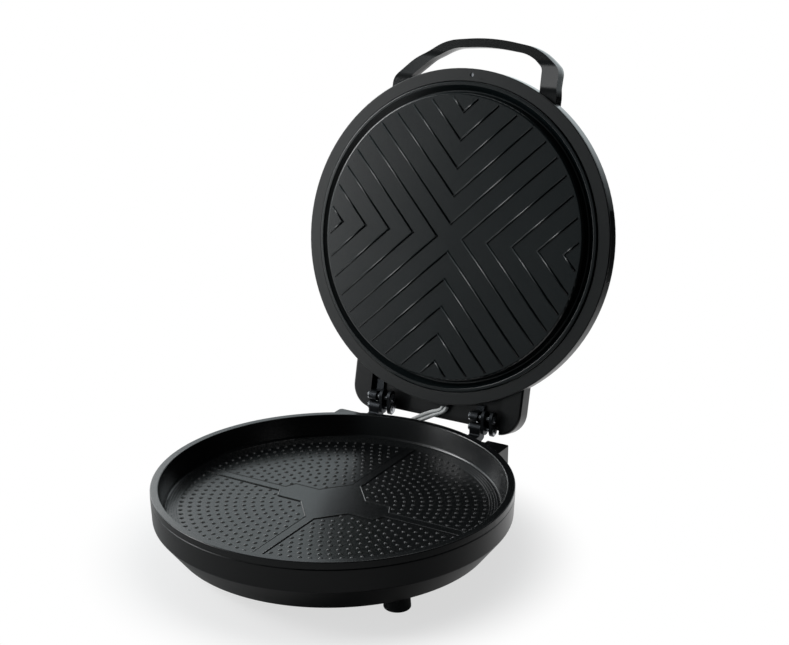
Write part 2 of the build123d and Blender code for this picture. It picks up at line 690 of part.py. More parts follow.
def terminal_block():
    """Ceramic terminal block standing on the bottom cover."""
    body = block(
        (BLOCK_TERMINAL_X - TERMINAL_BLOCK_LONG / 2, BLOCK_TERMINAL_Y - TERMINAL_BLOCK_DEEP / 2, COVER_TOP),
        (BLOCK_TERMINAL_X + TERMINAL_BLOCK_LONG / 2, BLOCK_TERMINAL_Y + TERMINAL_BLOCK_DEEP / 2,
         COVER_TOP + TERMINAL_BLOCK_TALL))
    for x in terminal_places():
        top = COVER_TOP + TERMINAL_BLOCK_TALL
        body -= rod((x, BLOCK_TERMINAL_Y, top - 4), (x, BLOCK_TERMINAL_Y, top), TERMINAL_SCREW_R)
    return body


def terminal_screws():
    """Brass screws down in the terminal block."""
    top = COVER_TOP + TERMINAL_BLOCK_TALL
    return [rod((x, BLOCK_TERMINAL_Y, top - 4), (x, BLOCK_TERMINAL_Y, top - 1), TERMINAL_SCREW_R)
            for x in terminal_places()]


def base_wires():
    """Leads from the inlet to the terminal block, and from there to the heater's ends."""
    ways = terminal_places()
    front = BLOCK_TERMINAL_Y - TERMINAL_BLOCK_DEEP / 2
    tail = BLOCK_REAR + INLET_FLANGE - INLET_DEEP - PIN_TAIL
    run = tail - 4.0
    pin_z = INLET_Z + PIN_RISE
    over_z = pin_z + 5.5
    supply_z = COVER_TOP + SUPPLY_RISE
    near_x = INLET_X - PIN_SIDE
    far_x = INLET_X + PIN_SIDE
    leads = [
        [(near_x, tail, pin_z), (near_x, run, pin_z), (ways[3], run, pin_z), (ways[3], run, supply_z),
         (ways[3], front, supply_z)],
        [(far_x, tail, pin_z), (far_x, run, pin_z), (far_x, run, over_z), (ways[2], run, over_z),
         (ways[2], run, supply_z), (ways[2], front, supply_z)],
    ]
    heater_z = COVER_TOP + HEATER_RISE
    end = polar(LOWER_ELEMENT_BEND_R, 90 - ELEMENT_END_TURN / 2)
    stop = end[1] + TERMINAL_R
    leads.append([(ways[1], front, heater_z), (ways[1], run, heater_z), (end[0], run, heater_z),
                  (end[0], stop, heater_z)])
    leads.append([(ways[0], front, heater_z), (ways[0], run - 4.5, heater_z), (-end[0], run - 4.5, heater_z),
                  (-end[0], stop, heater_z)])
    return [wire(points, WIRE_R, WIRE_BEND) for points in leads]


def lid_wires():
    """Leads from the lid's grommet over the heat shield to the upper heater's ends."""
    start = LID_R - SHELL
    end = polar(UPPER_ELEMENT_BEND_R, 90 - ELEMENT_END_TURN / 2)
    stop = end[1] + TERMINAL_R
    leads = []
    for side, target in ((-1, -end[0]), (1, end[0])):
        x = LEAD_ENTRY_X + side * LEAD_SPREAD
        leads.append(wire([
            (x, start, LEAD_ENTRY_Z),
            (x, start - 11, LEAD_ENTRY_Z),
            (x, start - 21, LID_WIRE_Z),
            (target, start - 36, LID_WIRE_Z),
            (target, stop, LID_WIRE_Z),
        ], WIRE_R, 4.0))
    return leads


# Hinge

def knuckle_screws(unit_x):
    """Seats of the two screws through a base knuckle's foot."""
    x = unit_x + KNUCKLE_WIDE / 2
    y = BLOCK_REAR + KNUCKLE_FOOT
    return [(x, y, KNUCKLE_FOOT_LOW + 4.2), (x, y, KNUCKLE_FOOT_LOW + 12.4)]


def hinge_knuckle(unit_x):
    """Base bracket: a foot on the rear wall and an arm up to the lower pin."""
    start = unit_x
    stop = unit_x + KNUCKLE_WIDE
    y = LOWER_PIN_Y
    foot_part = block((start, BLOCK_REAR, KNUCKLE_FOOT_LOW), (stop, BLOCK_REAR + KNUCKLE_FOOT, KNUCKLE_FOOT_HIGH))
    arm = outline(
        (BLOCK_REAR, KNUCKLE_ARM_LOW),
        (y - KNUCKLE_R, KNUCKLE_ARM_LOW, 2),
        (y + KNUCKLE_R, KNUCKLE_ARM_HIGH - KNUCKLE_R, 3),
        (y + KNUCKLE_R, LOWER_PIN_Z),
        (y - KNUCKLE_R, LOWER_PIN_Z),
        (y - KNUCKLE_R, KNUCKLE_ARM_HIGH, 1.5),
        (BLOCK_REAR, KNUCKLE_ARM_HIGH),
    )
    body = foot_part + across(arm, start, stop)
    body += rod((start, y, LOWER_PIN_Z), (stop, y, LOWER_PIN_Z), KNUCKLE_R)
    body -= rod((start, y, LOWER_PIN_Z), (stop, y, LOWER_PIN_Z), HINGE_PIN_R)
    for seat in knuckle_screws(unit_x):
        body -= rod(seat, (seat[0], BLOCK_REAR, seat[2]), SCREW_HOLE_R)
    return body


def hinge_link(unit_x):
    """Channel-shaped link: two side plates joined by a web at the back."""
    start = unit_x + KNUCKLE_WIDE + LINK_SIDE_GAP
    stop = start + LINK_WIDE
    y = LOWER_PIN_Y
    top = LOWER_PIN_Z + LINK_TOP
    body = None
    for a, b in ((start, start + LINK_PLATE), (stop - LINK_PLATE, stop)):
        plate = block((a, y - LINK_HALF, LOWER_PIN_Z), (b, y + LINK_HALF, top))
        plate += rod((a, y, LOWER_PIN_Z), (b, y, LOWER_PIN_Z), LINK_HALF)
        plate += rod((a, y, top), (b, y, top), LINK_HALF)
        body = plate if body is None else body + plate
    web_back = y + LINK_HALF - LINK_WEB_BACK
    body += block((start + LINK_PLATE, web_back - LINK_WEB, LOWER_PIN_Z),
                  (stop - LINK_PLATE, web_back, top))
    hole = HINGE_PIN_R + PIN_RUNNING_GAP
    for z in (LOWER_PIN_Z, UPPER_PIN_Z):
        body -= rod((start, y, z), (stop, y, z), hole)
    return body


def hinge_pin(unit_x, z):
    """Steel pin with a flat head on its left and a groove for its clip on the right."""
    clip_x = unit_x + UNIT_LONG + CLIP_RING_GAP
    tip = clip_x + CLIP_RING + PIN_TIP
    pin = rod((unit_x - PIN_HEAD, LOWER_PIN_Y, z), (unit_x, LOWER_PIN_Y, z), PIN_HEAD_R)
    pin += rod((unit_x, LOWER_PIN_Y, z), (tip, LOWER_PIN_Y, z), HINGE_PIN_R)
    groove = rod((clip_x, LOWER_PIN_Y, z), (clip_x + CLIP_RING, LOWER_PIN_Y, z), HINGE_PIN_R + 1)
    groove -= rod((clip_x, LOWER_PIN_Y, z), (clip_x + CLIP_RING, LOWER_PIN_Y, z), HINGE_PIN_R - 0.5)
    return pin - groove


def pin_clip(unit_x, z):
    """Spring clip in a pin's groove, open towards the back."""
    x = unit_x + UNIT_LONG + CLIP_RING_GAP
    ring = rod((x, LOWER_PIN_Y, z), (x + CLIP_RING, LOWER_PIN_Y, z), CLIP_RING_R)
    ring -= rod((x, LOWER_PIN_Y, z), (x + CLIP_RING, LOWER_PIN_Y, z), HINGE_PIN_R - 0.5)
    half = HINGE_PIN_R - 1
    return ring - block((x, LOWER_PIN_Y, z - half), (x + CLIP_RING, LOWER_PIN_Y + CLIP_RING_R, z + half))


# Lid, in its own frame, lying closed

def dome(inset, low):
    """The lid's round outside, drawn in by inset and starting at height low."""
    r = LID_R - inset
    slope = (LID_R - LID_TOP_R) / (LID_TOP - LID_WALL_TOP)
    top = LID_TOP - inset
    top_r = LID_TOP_R - inset + slope * inset
    return turned(
        (0, low),
        (r, low),
        (r, LID_WALL_TOP, LID_WALL_ROUND),
        (top_r, top, LID_TOP_ROUND - inset),
        (0, top),
    )


def lid_block_face(inset, z):
    """The lid's rear hinge block seen from above, drawn in by inset."""
    half = LID_BLOCK_HALF - inset
    end = LID_BLOCK_END - inset
    corner = LID_BLOCK_CORNER - inset
    return Pos(0, 0, z) * outline(
        (-half, LID_BLOCK_START), (half, LID_BLOCK_START), (half, end, corner), (-half, end, corner))


def hinge_recess(grow):
    """The hollow across the block's underside where hinge links and lead move."""
    hollow = block((-RECESS_HALF - grow, RECESS_START, LID_BLOCK_FACE - 1),
                   (RECESS_HALF + grow, LID_BLOCK_END + 1 + grow, RECESS_TOP + grow))
    return hollow + block((-RECESS_HALF - grow, LID_BLOCK_MIDDLE_END - grow, LID_BLOCK_FACE - 1),
                          (RECESS_HALF + grow, LID_BLOCK_END + 1 + grow, LID_BLOCK_TOP + 1))


def lid_cover_rear():
    """Matt rear cover: the back of the lid's dome with the rounded hinge block."""
    round_part = dome(0, FRAME_THICK)
    core = rod((0, 0, 0), (0, 0, LID_TOP), LID_R)
    hinge = extrude(lid_block_face(0, LID_BLOCK_FACE), amount=LID_BLOCK_TOP - LID_BLOCK_FACE)
    rims = [hinge.faces().sort_by(Axis.Z)[i].edges() for i in (0, -1)]
    hinge = fillet([edge for rim in rims for edge in rim], LID_BLOCK_EDGE)
    hinge -= hinge_recess(0) - core
    hinge -= rod((0, 0, 0), (0, 0, FRAME_THICK), LID_R)
    room = dome(SHELL, FRAME_THICK - 1)
    height = LID_BLOCK_TOP - LID_BLOCK_FACE - 2 * SHELL
    block_room = extrude(lid_block_face(SHELL, LID_BLOCK_FACE + SHELL), amount=height)
    block_room -= hinge_recess(SHELL) - rod((0, 0, 0), (0, 0, LID_TOP), LID_R - SHELL)
    shell = round_part + hinge - room - block_room
    shell &= block((-LID_R, SEAM_Y + SEAM_GAP, 0), (LID_R, LID_BLOCK_END + 1, LID_TOP + 1))
    for x in HINGE_UNITS.values():
        for seat in ear_screws(x):
            shell -= rod((seat[0], seat[1], RECESS_TOP), (seat[0], seat[1], RECESS_TOP + SCREW_LENGTH), SCREW_R)
    shell -= lid_grommet_body(LID_R - SHELL - 1, LID_R + 1, 0)
    return shell


def lid_cover_front():
    """Glossy front cover of the lid."""
    shell = dome(0, FRAME_THICK) - dome(SHELL, FRAME_THICK - 1)
    shell &= block((-LID_R, -LID_R, 0), (LID_R, SEAM_Y - SEAM_GAP, LID_TOP + 1))
    for x in (-LENS_X, LENS_X):
        shell -= rod((x, LENS_Y, LID_TOP - SHELL), (x, LENS_Y, LID_TOP), LENS_R + LENS_GAP)
    for x, y, z in handle_screw_seats():
        shell += rod((x, y, z), (x, y - HANDLE_SCREW_BOSS_DEEP, z), HANDLE_SCREW_BOSS)
        shell -= rod((x, y, z), (x, y - HANDLE_SCREW_LONG, z), SCREW_R)
    return shell


def lid_frame():
    """Flat matt ring that carries the upper plate, with its screw recess and nub at the front."""
    ring = turned(
        (FRAME_INNER_R, 0, FRAME_EDGE / 2),
        (LID_R, 0, FRAME_EDGE),
        (LID_R, FRAME_THICK),
        (FRAME_INNER_R, FRAME_THICK),
    )
    ledge_top = FRAME_THICK + FRAME_LEDGE
    ring += turned(
        (FRAME_LEDGE_R, FRAME_THICK),
        (LID_R - SHELL - COVER_GAP, FRAME_THICK),
        (LID_R - SHELL - COVER_GAP, ledge_top),
        (FRAME_LEDGE_R, ledge_top),
    )
    ring -= rod((0, SCREW_RECESS_Y, 0), (0, SCREW_RECESS_Y, SCREW_RECESS_DEEP), SCREW_RECESS_R)
    ring += rod((NUB_X, NUB_Y, -NUB_TALL), (NUB_X, NUB_Y, FRAME_THICK), NUB_R)
    return ring


def upper_plate():
    """Cast upper plate: bead, gutter, raised floor with nested V ribs, and studs behind."""
    edge_r = FRAME_INNER_R - PLATE_EDGE_GAP
    plate = turned(
        (0, -PLATE_PROUD),
        (PLATE_FLOOR_R, -PLATE_PROUD, PLATE_STEP_ROUND),
        (GUTTER_INNER_R, GUTTER_DEEP, 0.8),
        (GUTTER_OUTER_R, GUTTER_DEEP, 0.8),
        (PLATE_BEAD_INNER_R, -PLATE_BEAD_OUT, 1.0),
        (edge_r, -PLATE_BEAD_OUT, 1.2),
        (edge_r, FRAME_THICK),
        (PLATE_BEAD_INNER_R, FRAME_THICK),
        (GUTTER_OUTER_R + 1, GUTTER_DEEP + PLATE_THICK, 1),
        (GUTTER_INNER_R - 2, GUTTER_DEEP + PLATE_THICK, 1),
        (PLATE_FLOOR_R - PLATE_THICK, PLATE_BACK, 1),
        (0, PLATE_BACK),
    )
    plate += plate_ribs()
    shield_z = PLATE_BACK + UPPER_SHIELD_RISE
    for i in range(STUDS):
        low = polar(STUD_CIRCLE_R, i * 360 / STUDS, PLATE_BACK)
        high = polar(STUD_CIRCLE_R, i * 360 / STUDS, shield_z)
        plate += rod(low, high, STUD_R)
        plate -= rod((high[0], high[1], shield_z - SCREW_LENGTH + SHIELD_THICK), high, SCREW_R)
    return plate


def plate_ribs():
    """Thin V ribs nested in the plate's four quarters, all ending on one circle."""
    arms = []
    for k in range(RIB_COUNT):
        apex = (k + 0.5) * RIB_PITCH
        long = (sqrt(4 * RIB_END_R ** 2 - 2 * apex ** 2) - sqrt(2) * apex) / 2
        for quarter in range(4):
            for lean in (-45, 45):
                arms.append(Rot(0, 0, quarter * 90) * Pos(apex, 0, 0) * Rot(0, 0, lean) * rib_bar(long))
    ribs = arms[0]
    for arm in arms[1:]:
        ribs += arm
    return ribs


def rib_bar(long):
    """One straight rib along X, narrower at its crest, sunk a little into the plate."""
    root = -PLATE_PROUD + 0.4
    crest = -PLATE_PROUD - RIB_TALL
    half = RIB_WIDE / 2
    top = RIB_TOP_WIDE / 2
    face = make_face(Polyline((-half, root), (half, root), (half, -PLATE_PROUD), (top, crest),
                              (-top, crest), (-half, -PLATE_PROUD), close=True))
    return across(face, -half, long)


def hinge_ear(unit_x):
    """Lid bracket: a foot in the recess and an ear down to the upper pin."""
    start = unit_x
    stop = unit_x + EAR_WIDE
    body = block((start, EAR_Y - KNUCKLE_R, EAR_Z), (stop, EAR_Y + KNUCKLE_R, RECESS_TOP))
    body += rod((start, EAR_Y, EAR_Z), (stop, EAR_Y, EAR_Z), KNUCKLE_R)
    body += block((start, ear_foot_front(unit_x), RECESS_TOP - KNUCKLE_FOOT), (stop, LID_BLOCK_MIDDLE_END - 1, RECESS_TOP))
    body -= rod((start, EAR_Y, EAR_Z), (stop, EAR_Y, EAR_Z), HINGE_PIN_R)
    for seat in ear_screws(unit_x):
        body -= rod(seat, (seat[0], seat[1], RECESS_TOP), SCREW_HOLE_R)
    return body


def ear_foot_front(unit_x):
    """How far forward the lid bracket's foot may reach beside the round lid wall."""
    near = min(abs(unit_x), abs(unit_x + EAR_WIDE))
    return sqrt(LID_R ** 2 - near ** 2) + 1.0


def ear_screws(unit_x):
    """Seat of the screw through a lid bracket's foot."""
    return [(unit_x + EAR_WIDE / 2, EAR_Y + KNUCKLE_R + SCREW_HEAD_R + 1.2, RECESS_TOP - KNUCKLE_FOOT)]


def handle_plan():
    """The handle's loop seen from above: its outer outline less the hand gap."""
    x = HANDLE_ROOT_X
    y = HANDLE_REACH
    outer = outline(
        (-x, -HANDLE_ROOT_Y), (-x, 50 - y, 22), (10.5 - x, 26 - y, 24), (38 - x, 6.5 - y, 55), (0, -y, 200),
        (x - 38, 6.5 - y, 55), (x - 10.5, 26 - y, 24), (x, 50 - y, 22), (x, -HANDLE_ROOT_Y))
    inner_x = x - HANDLE_ARM_WIDE
    inner_y = y - HANDLE_GRIP_THICK
    gap = outline(
        (-inner_x, -HANDLE_ROOT_Y), (-inner_x, 47 - y, 16), (28.5 - x, 26 - y, 16), (46 - x, 13.5 - y, 40),
        (0, -inner_y, 200), (x - 46, 13.5 - y, 40), (x - 28.5, 26 - y, 16), (inner_x, 47 - y, 16),
        (inner_x, -HANDLE_ROOT_Y))
    return outer - gap


def handle_band(low_share, high_share):
    """The handle's rise seen from the side, between two shares of its thickness."""
    low = low_share * HANDLE_BAND
    high = high_share * HANDLE_BAND
    a = HANDLE_ROOT_LOW
    b = HANDLE_GRIP_LOW
    far = HANDLE_REACH + 5
    face = outline(
        (-HANDLE_ROOT_Y + 5, a + low), (-HANDLE_RISE_START, a + low, HANDLE_BEND),
        (-HANDLE_RISE_END, b + low, HANDLE_BEND), (-far, b + low),
        (-far, b + high), (-HANDLE_RISE_END, b + high, HANDLE_BEND),
        (-HANDLE_RISE_START, a + high, HANDLE_BEND), (-HANDLE_ROOT_Y + 5, a + high))
    return across(face, -HANDLE_ROOT_X - 5, HANDLE_ROOT_X + 5)


def handle_shell(low_share, high_share):
    """One half of the handle, cut off where it meets the lid."""
    loop = extrude(handle_plan(), amount=HANDLE_GRIP_LOW + HANDLE_BAND + 10)
    body = (loop & handle_band(low_share, high_share)) - dome(0, 0)
    for x, y, z in handle_screw_seats():
        body -= rod((x, y, z), (x, y - HANDLE_SCREW_LONG, z), SCREW_R)
    return body


def handle_screw_seats():
    """Where the handle's screws bear on the glossy cover's inside."""
    side = HANDLE_SCREW_X + HANDLE_SCREW_BOSS + HANDLE_SCREW_SEAT
    y = -sqrt((LID_R - SHELL) ** 2 - side ** 2)
    return [(-HANDLE_SCREW_X, y, HANDLE_SCREW_Z), (HANDLE_SCREW_X, y, HANDLE_SCREW_Z)]


def handle_screws():
    """Screws from inside the glossy cover into the handle's roots."""
    return [screw(seat, (0, -1, 0), HANDLE_SCREW_LONG) for seat in handle_screw_seats()]


def lens(x):
    """Indicator lens: a domed button with a flange inside the cover."""
    body = rod((x, LENS_Y, LID_TOP - LENS_DEEP), (x, LENS_Y, LID_TOP + LENS_RISE), LENS_R)
    body = fillet(body.edges().sort_by(Axis.Z)[-1], LENS_RISE * 0.8)
    return body + rod((x, LENS_Y, LID_TOP - LENS_DEEP), (x, LENS_Y, LID_TOP - SHELL), LENS_FLANGE_R)


def recess_screw():
    """Screw down in the recess at the ring's front."""
    head = rod((0, SCREW_RECESS_Y, 1.0), (0, SCREW_RECESS_Y, SCREW_RECESS_DEEP), SCREW_RECESS_R - 0.1)
    slot = block((-1.2, SCREW_RECESS_Y - 0.25, 1.0), (1.2, SCREW_RECESS_Y + 0.25, 1.5))
    return head - slot


# Lead and grommets

def grommet_body(start, stop, grow):
    """Oval plug round both sleeves at the base, along Y."""
    face = SlotOverall(2 * (GROMMET_LONG + grow), 2 * (GROMMET_HALF + grow))
    plane = Plane(origin=(LEAD_EXIT_X, start, LEAD_EXIT_Z), x_dir=(1, 0, 0), z_dir=(0, 1, 0))
    return extrude(plane * Rot(0, 0, 28) * face, amount=stop - start)


def lid_grommet_body(start, stop, grow):
    """Oval plug round both sleeves in the lid's rear wall, along Y."""
    face = SlotOverall(2 * (LID_GROMMET_LONG + grow), 2 * (LID_GROMMET_HALF + grow))
    plane = Plane(origin=(LEAD_ENTRY_X, start, LEAD_ENTRY_Z), x_dir=(1, 0, 0), z_dir=(0, 1, 0))
    return extrude(plane * face, amount=stop - start)


def lead_route(side):
    """One sleeve's middle line at rest, from the base's rear wall up to the lid's rear wall."""
    x = LEAD_ENTRY_X + side * LEAD_SPREAD
    entry = (LID_REST * Pos(x, LID_R + GROMMET_OUT, LEAD_ENTRY_Z)).position
    below = (LID_REST * Pos(x, LID_R + GROMMET_OUT + 4.5, LEAD_ENTRY_Z)).position
    dx = side * LEAD_SPREAD
    dz = -side * LEAD_TILT
    return [
        (LEAD_EXIT_X + dx, BLOCK_REAR + GROMMET_OUT, LEAD_EXIT_Z + dz),
        (LEAD_EXIT_X + dx, BLOCK_REAR + 15, LEAD_EXIT_Z + dz),
        (-19 + dx, BLOCK_REAR + 20, LOWER_PIN_Z - 8.0 + dz),
        (-3 + dx, BLOCK_REAR + 25, LOWER_PIN_Z + 1.0 + dz),
        (below.X, below.Y, below.Z),
        (entry.X, entry.Y, entry.Z),
    ]


def keep(name, shapes, place=None):
    """Keeps one node's solids, moved to their place at rest."""
    shapes = shapes if isinstance(shapes, list) else [shapes]
    solids = [s for shape in shapes for s in shape.solids()]
    if place is not None:
        solids = [place * s for s in solids]
    NODES[name] = solids


NODES = {}

keep("lower_pan", lower_pan())
keep("base_housing", base_housing())
keep("base_bottom_cover", base_bottom_cover())
keep("cover_screws", cover_screws())
for name, (x, y) in foot_places().items():
    keep(f"foot_{name}", foot(x, y))
keep("foot_screws", foot_screws())

lower_shield_z = PAN_BACK_Z - LOWER_SHIELD_DROP
keep("lower_element", element(LOWER_ELEMENT_BEND_R, PAN_BACK_Z, -1))
keep("lower_element_clips", element_clips(LOWER_ELEMENT_BEND_R, PAN_BACK_Z, -1))
keep("lower_heat_shield", shield_holes(
    heat_shield(LOWER_SHIELD_R, lower_shield_z, -1), LOWER_ELEMENT_BEND_R, lower_shield_z, -1))
keep("lower_shield_screws", stud_screws(lower_shield_z - SHIELD_THICK, 1))
keep("lower_thermostat", thermostat(PAN_BACK_Z, -1))
keep("lower_thermal_fuse", thermal_fuse(PAN_BACK_Z, -1))
keep("lower_fuse_clip", fuse_clip(PAN_BACK_Z, -1))
keep("inlet_socket", inlet_socket())
keep("inlet_pins", inlet_pins())
keep("terminal_block", terminal_block())
keep("terminal_screws", terminal_screws())
keep("base_wires", base_wires())

for side, unit_x in HINGE_UNITS.items():
    keep(f"hinge_knuckle_{side}", hinge_knuckle(unit_x))
    keep(f"lower_hinge_pin_{side}", hinge_pin(unit_x, LOWER_PIN_Z))
    keep(f"hinge_link_{side}", hinge_link(unit_x))
    keep(f"upper_hinge_pin_{side}", hinge_pin(unit_x, UPPER_PIN_Z))
    keep(f"hinge_ear_{side}", hinge_ear(unit_x), LID_REST)
units = list(HINGE_UNITS.values())
keep("knuckle_screws", [screw(seat, (0, -1, 0)) for x in units for seat in knuckle_screws(x)])
keep("ear_screws", [screw(seat, (0, 0, 1)) for x in units for seat in ear_screws(x)], LID_REST)
keep("lower_pin_clips", [pin_clip(x, LOWER_PIN_Z) for x in units])
keep("upper_pin_clips", [pin_clip(x, UPPER_PIN_Z) for x in units])

upper_shield_z = PLATE_BACK + UPPER_SHIELD_RISE
keep("lid_frame", lid_frame(), LID_REST)
keep("lid_cover_front", lid_cover_front(), LID_REST)
keep("lid_cover_rear", lid_cover_rear(), LID_REST)
keep("handle_underside", handle_shell(0, HANDLE_SPLIT), LID_REST)
keep("handle_top", handle_shell(HANDLE_SPLIT, 1), LID_REST)
keep("handle_screws", handle_screws(), LID_REST)
keep("upper_plate", upper_plate(), LID_REST)
keep("upper_element", element(UPPER_ELEMENT_BEND_R, PLATE_BACK, 1), LID_REST)
keep("upper_element_clips", element_clips(UPPER_ELEMENT_BEND_R, PLATE_BACK, 1), LID_REST)
keep("upper_heat_shield", shield_holes(
    heat_shield(UPPER_SHIELD_R, upper_shield_z, 1), UPPER_ELEMENT_BEND_R, upper_shield_z, 1), LID_REST)
keep("upper_shield_screws", stud_screws(upper_shield_z + SHIELD_THICK, -1), LID_REST)
keep("upper_thermostat", thermostat(PLATE_BACK, 1), LID_REST)
keep("upper_thermal_fuse", thermal_fuse(PLATE_BACK, 1), LID_REST)
keep("upper_fuse_clip", fuse_clip(PLATE_BACK, 1), LID_REST)
keep("heating_lens", lens(-LENS_X), LID_REST)
keep("ready_lens", lens(LENS_X), LID_REST)
keep("recess_screw", recess_screw(), LID_REST)

base_grommet = grommet_body(BLOCK_REAR - HOUSING_WALL, BLOCK_REAR, 0)
base_grommet += grommet_body(BLOCK_REAR, BLOCK_REAR + GROMMET_OUT, 1)
keep("base_grommet", base_grommet)
lid_grommet = lid_grommet_body(LID_R - SHELL, LID_R, 0) + lid_grommet_body(LID_R, LID_R + GROMMET_OUT, 0)
keep("lid_grommet", lid_grommet, LID_REST)
keep("lid_lead", [wire(lead_route(side), SLEEVE_R, 5.0) for side in (-1, 1)])
keep("lid_wires", lid_wires(), LID_REST)

boxes = [s.bounding_box() for solids in NODES.values() for s in solids]
rear = max(box.max.Y for box in boxes)
front = min(box.min.Y for box in boxes)
Y_SHIFT = -(front + rear) / 2

os.makedirs("parts", exist_ok=True)
for name, solids in NODES.items():
    moved = [Pos(0, Y_SHIFT, 0) * s for s in solids]
    export_step(moved[0] if len(moved) == 1 else Compound(children=moved), f"parts/{name}.step")
print("nodes", len(NODES), "shift", round(Y_SHIFT, 3), "lid centre", round(LID_Y, 2), round(LID_Z, 2))
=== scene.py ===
"""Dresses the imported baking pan: finishes, fine relief of the cooking surfaces and the braided lead."""
import json
import math

import bpy
from mathutils import Matrix, Vector


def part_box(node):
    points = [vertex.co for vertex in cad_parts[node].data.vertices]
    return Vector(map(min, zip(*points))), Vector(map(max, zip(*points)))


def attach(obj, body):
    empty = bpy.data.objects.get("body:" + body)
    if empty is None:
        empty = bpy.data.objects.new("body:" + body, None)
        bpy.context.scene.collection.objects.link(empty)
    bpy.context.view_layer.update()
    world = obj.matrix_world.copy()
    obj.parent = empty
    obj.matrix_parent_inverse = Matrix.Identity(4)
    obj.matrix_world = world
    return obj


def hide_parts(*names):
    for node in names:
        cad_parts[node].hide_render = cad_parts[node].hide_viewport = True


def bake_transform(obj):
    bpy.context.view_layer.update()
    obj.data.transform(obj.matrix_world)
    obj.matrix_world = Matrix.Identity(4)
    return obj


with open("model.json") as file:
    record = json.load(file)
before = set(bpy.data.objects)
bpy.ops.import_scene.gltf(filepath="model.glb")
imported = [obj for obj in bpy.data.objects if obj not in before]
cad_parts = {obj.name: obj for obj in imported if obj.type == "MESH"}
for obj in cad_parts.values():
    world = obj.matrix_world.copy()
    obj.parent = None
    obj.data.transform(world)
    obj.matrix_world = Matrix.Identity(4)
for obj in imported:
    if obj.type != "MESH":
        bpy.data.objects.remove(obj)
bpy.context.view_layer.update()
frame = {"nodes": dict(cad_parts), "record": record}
MM = 0.001

# Where the lower pan stands in the frame
PAN_DEEP = 22.0 * MM
pan_low, pan_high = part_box("lower_pan")
AXIS_Y = (pan_low.y + pan_high.y) / 2
FLOOR_Z = pan_high.z - PAN_DEEP


# Camera and stage

CAMERA_PLACE = (0.6989, -1.0827 + AXIS_Y, 0.63955)
CAMERA_TARGET = (0.0494, 0.02357 + AXIS_Y, 0.2135)
CAMERA_LENS = 71.84
SENSOR_WIDTH = 36.0
CAMERA_REACH = (0.05, 20.0)
TABLE_HALF = 6.0
WHITE = (1.0, 1.0, 1.0, 1.0)
ROOM_TINT = (0.88, 0.97, 1.0, 1.0)
TABLE_COLOR = (0.9, 0.905, 0.91, 1.0)

# Each lamp's place and target in metres, size in metres and power in watts
SOFTBOXES = {
    "left_softbox": ((-1.9, -1.7, 0.5), (0, 0, 0.2), (1.0, 0.9), 7.0),
    "rib_softbox": ((-1.75, -0.8, 1.15), (0, 0, 0.2), (0.9, 0.9), 28.0),
    "rear_left_softbox": ((-1.9, 1.0, 0.7), (0, 0, 0.15), (1.3, 1.1), 8.5),
    "top_softbox": ((-0.2, 0.7, 2.2), (0, 0, 0.1), (1.4, 1.0), 6.0),
}


def add_object(name, data):
    """A new object in the scene."""
    obj = bpy.data.objects.new(name, data)
    bpy.context.scene.collection.objects.link(obj)
    return obj


def aim(obj, target):
    """Turns a camera or lamp towards a point."""
    direction = Vector(target) - obj.location
    obj.rotation_euler = direction.to_track_quat("-Z", "Y").to_euler()


def photo_camera():
    """Camera at the photograph's viewing angle."""
    data = bpy.data.cameras.new("photo_camera")
    data.sensor_fit = "HORIZONTAL"
    data.sensor_width = SENSOR_WIDTH
    data.lens = CAMERA_LENS
    data.clip_start, data.clip_end = CAMERA_REACH
    camera = add_object("photo_camera", data)
    camera.location = CAMERA_PLACE
    aim(camera, CAMERA_TARGET)
    bpy.context.scene.camera = camera


def softbox(name, place, target, size, power):
    """Rectangular soft lamp."""
    data = bpy.data.lights.new(name, "AREA")
    data.shape = "RECTANGLE"
    data.size, data.size_y = size
    data.energy = power
    lamp = add_object(name, data)
    lamp.location = place
    aim(lamp, target)


